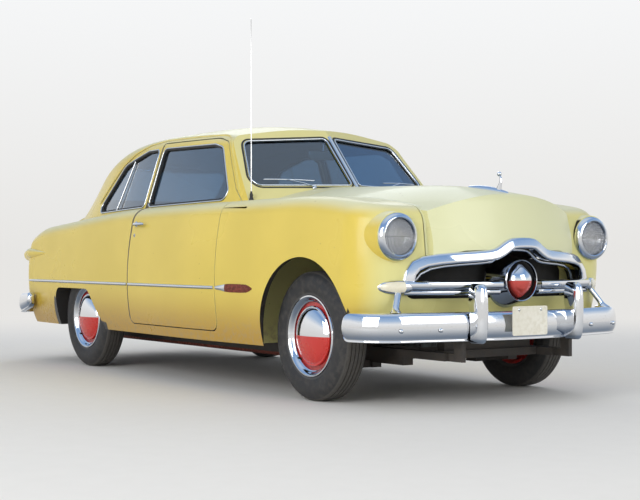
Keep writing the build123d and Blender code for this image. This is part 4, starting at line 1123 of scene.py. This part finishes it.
# Ornament, aerial, wipers and mirror
def hood_ornament():
    """Low plated runner with an upswept blade and a small ball over the nose."""
    rows = []
    for i in range(15):
        t = i / 14
        x = 1.967 + 0.318 * t
        skin = on_skin("hood", (x, 0, 2.0), (0, 0, -1))
        half = 0.003 + 0.0105 * math.sin(math.pi * min(1.0, 0.15 + t * 0.85)) ** 0.7
        tall = 0.006 + 0.016 * math.sin(math.pi * min(1.0, 0.1 + 0.8 * t))
        rows.append([(x, half * math.cos(a), skin.z - 0.004 + tall * max(0.0, math.sin(a)))
            for a in around(16)])
    placed(lofted("ornament_runner", rows, chrome, 50), "hood", "bright_chrome", "hood_ornament")
    blade = []
    for x, z, chord, half in mm((2205, 1118, 52, 7.5), (2212, 1142, 36, 6.5), (2222, 1162, 24, 5.5),
            (2226, 1180, 17, 5), (2222, 1196, 14, 4.8), (2214, 1206, 11, 4.5)):
        blade.append([(x + chord * math.cos(a) * 0.5, half * math.sin(a), z) for a in around(16)])
    placed(lofted("ornament_blade", blade, chrome, 50), "hood", "bright_chrome")
    ball = [(0.0125 * math.sin(math.pi * k / 12), -0.0125 * math.cos(math.pi * k / 12)) for k in range(13)]
    placed(turned_piece("ornament_ball", ball, (2.213, 0, 1.2125), (0, 0, 1), chrome, 24), "hood",
        "bright_chrome")


def aerial():
    """Jointed rod in a rubber boot on the right front wing."""
    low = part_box("antenna")[0].z
    placed(turned_piece("aerial_boot", [(0.0, low), (0.013, low), (0.013, 1.108), (0.012, 1.116),
        (0.0085, 1.124), (0.01, 1.131), (0.01, 1.14), (0.007, 1.148), (0.005, 1.158), (0.0, 1.158)],
        (0.805, -0.69, 0), (0, 0, 1), seal_rubber, 28), "body", "chassis_black", "antenna")
    fixed(turned_piece("aerial_mast", mm((0, 1150), (3.4, 1150), (3.4, 1420), (2.8, 1425), (2.8, 1760),
        (2.1, 1765), (2.1, 2162), (3, 2165), (3, 2169), (0, 2171)), (0.805, -0.69, 0), (0, 0, 1),
        worn_chrome, 12))


def wipers():
    for side, word in SIDES:
        tilt = Vector((1, SCREEN_SWEEP * side, SCREEN_RAKE)).normalized()

        def at(y, z, lift):
            return Vector((screen_face(y, z), side * y, z)) + tilt * lift
        pivot = at(0.27, 1.186, 0.004)
        fixed(turned_piece(f"wiper_pivot_{word}", mm((14, -10), (14, 3), (9, 10), (0, 12)), pivot, tilt,
            chrome, 20))
        fixed(rod(f"wiper_arm_{word}", [at(0.27, 1.188, 0.014), at(0.33, 1.205, 0.018),
            at(0.42, 1.226, 0.018)], 0.0028, chrome, sides=3))
        fixed(rod(f"wiper_blade_{word}", [at(0.255, 1.2245, 0.012), at(0.345, 1.2275, 0.013),
            at(0.435, 1.2285, 0.013), at(0.56, 1.228, 0.012)], 0.0036, worn_chrome, sides=3))


def cabin_mirror():
    low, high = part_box("mirror")
    placed(soft_block("mirror_shell", (0.519, -0.108, low.z + 0.003), (0.537, 0.108, low.z + 0.058), 0.0088,
        lamp_milk, 5, 60), "body", "dash_paint", "mirror")
    fixed(soft_block("mirror_glass", (0.5165, -0.1, low.z + 0.009), (0.52, 0.1, low.z + 0.052), 0.0016,
        reflector, 2))
    fixed(rod("mirror_stem", [(0.531, 0, low.z + 0.055), (0.532, 0, low.z + 0.085),
        (0.53, 0, high.z - 0.004)], 0.0055, chrome, sides=3))


# Cabin
WHEEL_CENTRE, WHEEL_AXIS = Vector((0.44, 0.33, 0.96)), Vector((-0.848048, 0.0, 0.529919))


def steering_wheel():
    """Large thin-rimmed wheel with three spokes and a horn ring on its column."""
    axis = WHEEL_AXIS
    right = Vector((0, 1, 0))
    up = axis.cross(right).normalized()
    if up.z < 0:
        up = -up
    placed(turned_piece("steering_rim", [(0.205 + 0.0105 * math.cos(2 * math.pi * k / 14),
        0.0115 * math.sin(2 * math.pi * k / 14)) for k in range(15)], WHEEL_CENTRE, axis, rim_plastic, 96,
        60), "body", "rim_plastic", "steering_wheel")
    for name, direction in (("left", right), ("right", -right), ("lower", -up)):
        rows = []
        for reach, drop, wide, thick in mm((20, -10, 15, 6), (80, -8, 12, 5.5), (150, -4, 10, 5),
                (205, 0, 9, 5)):
            side = axis.cross(direction).normalized()
            centre = WHEEL_CENTRE + direction * reach + axis * drop
            rows.append([centre + side * wide * math.cos(a) + axis * thick * math.sin(a) for a in around(14)])
        placed(lofted(f"steering_spoke_{name}", rows, rim_plastic, 50), "body", "rim_plastic")
    fixed(turned_piece("horn_ring", [(0.118 + 0.0032 * math.cos(2 * math.pi * k / 10),
        0.01 + 0.0032 * math.sin(2 * math.pi * k / 10)) for k in range(11)], WHEEL_CENTRE, axis, chrome, 72,
        60))
    placed(turned_piece("steering_hub", mm((0, -19), (36, -19), (36, 4), (34, 10), (28, 14), (24, 13),
        (22, 16), (12, 19), (0, 19.5)), WHEEL_CENTRE, axis, rim_plastic, 48), "body", "rim_plastic")
    end = WHEEL_CENTRE - axis * 0.675
    placed(rod("steering_column", [WHEEL_CENTRE - axis * 0.018, WHEEL_CENTRE - axis * 0.3, end], 0.0185,
        dash_enamel, sides=6), "body", "dash_paint")
    fixed(rod("gear_lever", [WHEEL_CENTRE - axis * 0.085, WHEEL_CENTRE - axis * 0.075 - right * 0.09
        + up * 0.01, WHEEL_CENTRE - axis * 0.055 - right * 0.165 + up * 0.015], 0.0045, chrome, sides=4))


def dash_dials():
    """Round speed dial ahead of the driver, a clock and a small speaker grille."""
    face_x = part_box("dashboard")[0].x
    for name, y, size in (("speed_dial", 0.33, 0.034), ("clock", -0.33, 0.026)):
        centre = Vector((face_x + 0.004, y, 0.982))
        fixed(turned_piece(f"{name}_bezel", [(size, 0.006), (size, -0.004), (size - 0.003, -0.007),
            (size - 0.006, -0.004), (size - 0.006, 0.006), (size, 0.006)], centre, FORWARD, chrome, 48))
        placed(turned_piece(f"{name}_face", [(size - 0.006, 0.005), (size - 0.006, -0.0015), (0.0, -0.0015)],
            centre, FORWARD, gauge_face, 40), "body", "dash_paint")
        for k in range(9):
            angle = math.radians(-120 + 30 * k)
            mark = [centre + Vector((-0.0022, reach * math.sin(angle), reach * math.cos(angle)))
                for reach in (size - 0.014, size - 0.008)]
            placed(rod(f"{name}_mark_{k}", mark, 0.0006, lamp_milk, sides=1), "body", "dash_paint")
        placed(rod(f"{name}_pointer", [centre + Vector((-0.003, 0, 0)),
            centre + Vector((-0.003, -0.6 * size, -0.4 * size))], 0.0007, red_enamel, sides=1), "body",
            "wheel_red")
    for k in range(7):
        z = 0.956 + 0.008 * k
        fixed(rod(f"speaker_bar_{k}", [(face_x + 0.004 + 0.0012 * (7 - k), -0.085, z),
            (face_x + 0.004 + 0.0012 * (7 - k), 0.085, z)], 0.0022, chrome, sides=2))


# Seats
def swollen(piece):
    cap, frames = 0.024, 20
    alone(piece)
    mesh = piece.modifiers.new("even_mesh", "REMESH")
    mesh.mode = "VOXEL"
    mesh.voxel_size = 0.014
    bpy.ops.object.modifier_apply(modifier="even_mesh")
    start = [v.co.copy() for v in piece.data.vertices]
    cloth = piece.modifiers.new("stuffing", "CLOTH")
    cloth.settings.use_pressure = True
    cloth.settings.uniform_pressure_force = 4.0
    cloth.settings.effector_weights.gravity = 0.0
    cloth.settings.tension_stiffness = 30
    cloth.settings.bending_stiffness = 2
    scene = bpy.context.scene
    for number in range(1, frames + 1):
        scene.frame_set(number)
    bpy.ops.object.modifier_apply(modifier="stuffing")
    scene.frame_set(1)
    for vertex, first in zip(piece.data.vertices, start):
        move = vertex.co - first
        if move.length > cap:
            vertex.co = first + move * (cap / move.length)
    smooth = piece.modifiers.new("eased", "SMOOTH")
    smooth.iterations = 6
    bpy.ops.object.modifier_apply(modifier="eased")
    finer = piece.modifiers.new("finer", "SUBSURF")
    finer.levels = finer.render_levels = 1
    bpy.ops.object.modifier_apply(modifier="finer")


def seat_pad(name, outline, half, channels, face, replaced=()):
    """A cushion drawn from the side, swollen, then sewn into upright channels on one face."""
    shortest = min((Vector(a) - Vector(b)).length for a, b in zip(outline, outline[1:] + outline[:1]))
    ring = rounded(outline, [min(0.024, 0.4 * shortest)] * len(outline), 4)
    pad = flat_piece(name, [(x, -half, z) for x, z in ring], (0, 2 * half, 0), seat_cloth)
    swollen(pad)
    face = Vector(face).normalized()
    bpy.context.view_layer.update()
    normals = [v.normal.copy() for v in pad.data.vertices]
    for vertex, normal in zip(pad.data.vertices, normals):
        facing = max(0.0, normal.dot(face) - 0.35) / 0.65
        inside = max(0.0, min(1.0, (half - 0.05 - abs(vertex.co.y)) / 0.03))
        phase = (vertex.co.y + half) / (2 * half) * channels
        groove = math.exp(-((phase - round(phase)) / 0.055) ** 2)
        vertex.co -= face * (0.011 * groove * facing * inside)
    settled(pad, seat_cloth, 60)
    for polygon in pad.data.polygons:
        polygon.use_smooth = True
    placed(pad, "body", "seat_cloth", *replaced)


def seats():
    front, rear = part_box("front_seat"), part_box("rear_seat")
    seat_pad("front_seat_cushion", mm((-215, 445), (222, 430), (228, 560), (-200, 548)), 0.606, 10,
        (0.0, 0, 1), ("front_seat",))
    seat_pad("front_seat_back", mm((-258, 565), (-170, 565), (-272, 955), (-335, 955)), 0.606, 10,
        (0.97, 0, 0.22))
    seat_pad("rear_seat_cushion", mm((-1345, 590), (-795, 590), (-792, 655), (-1345, 645)), 0.53, 9,
        (0.0, 0, 1), ("rear_seat",))
    seat_pad("rear_seat_back", mm((-1352, 665), (-1285, 665), (-1385, 1012), (-1432, 1012)), 0.53, 9,
        (0.97, 0, 0.22))
    for name, low, high in (("front_seat_frame_left", (-0.248, 0.132, front[0].z + 0.002),
            (0.24, 0.63, 0.425)), ("front_seat_frame_right", (-0.248, -0.63, front[0].z + 0.002),
            (0.24, -0.132, 0.425)), ("rear_seat_frame_left", (-0.99, 0.132, rear[0].z + 0.002),
            (-0.79, 0.552, 0.57)), ("rear_seat_frame_right", (-0.99, -0.552, rear[0].z + 0.002),
            (-0.79, -0.132, 0.57)),):
        placed(soft_block(name, low, high, 0.012, seat_cloth, 4), "body", "seat_cloth")
    for name, low, high in (("front_seat_board", (-0.28, -0.56, 0.47), (-0.25, 0.56, 0.56)),
            ("rear_seat_board", (-1.372, -0.52, 0.548), (-1.01, 0.52, 0.575)),):
        placed(soft_block(name, low, high, 0.01, seat_cloth, 3), "body", "seat_cloth")


photograph_camera()
studio()
finish_nodes()
for corner, x, side in (("front_left", front_axle, 1), ("front_right", front_axle, -1),
        ("rear_left", rear_axle, 1), ("rear_right", rear_axle, -1)):
    wheel(corner, x, side)
for side, word in SIDES:
    headlamp(side, word)
    parking_lamp(side, word)
grille_arch()
grille_bar()
grille_boss()
bumper_dress()
window_surrounds()
gutters()
side_strips()
tail_spears()
handles()
hood_ornament()
aerial()
wipers()
cabin_mirror()
steering_wheel()
dash_dials()
seats()
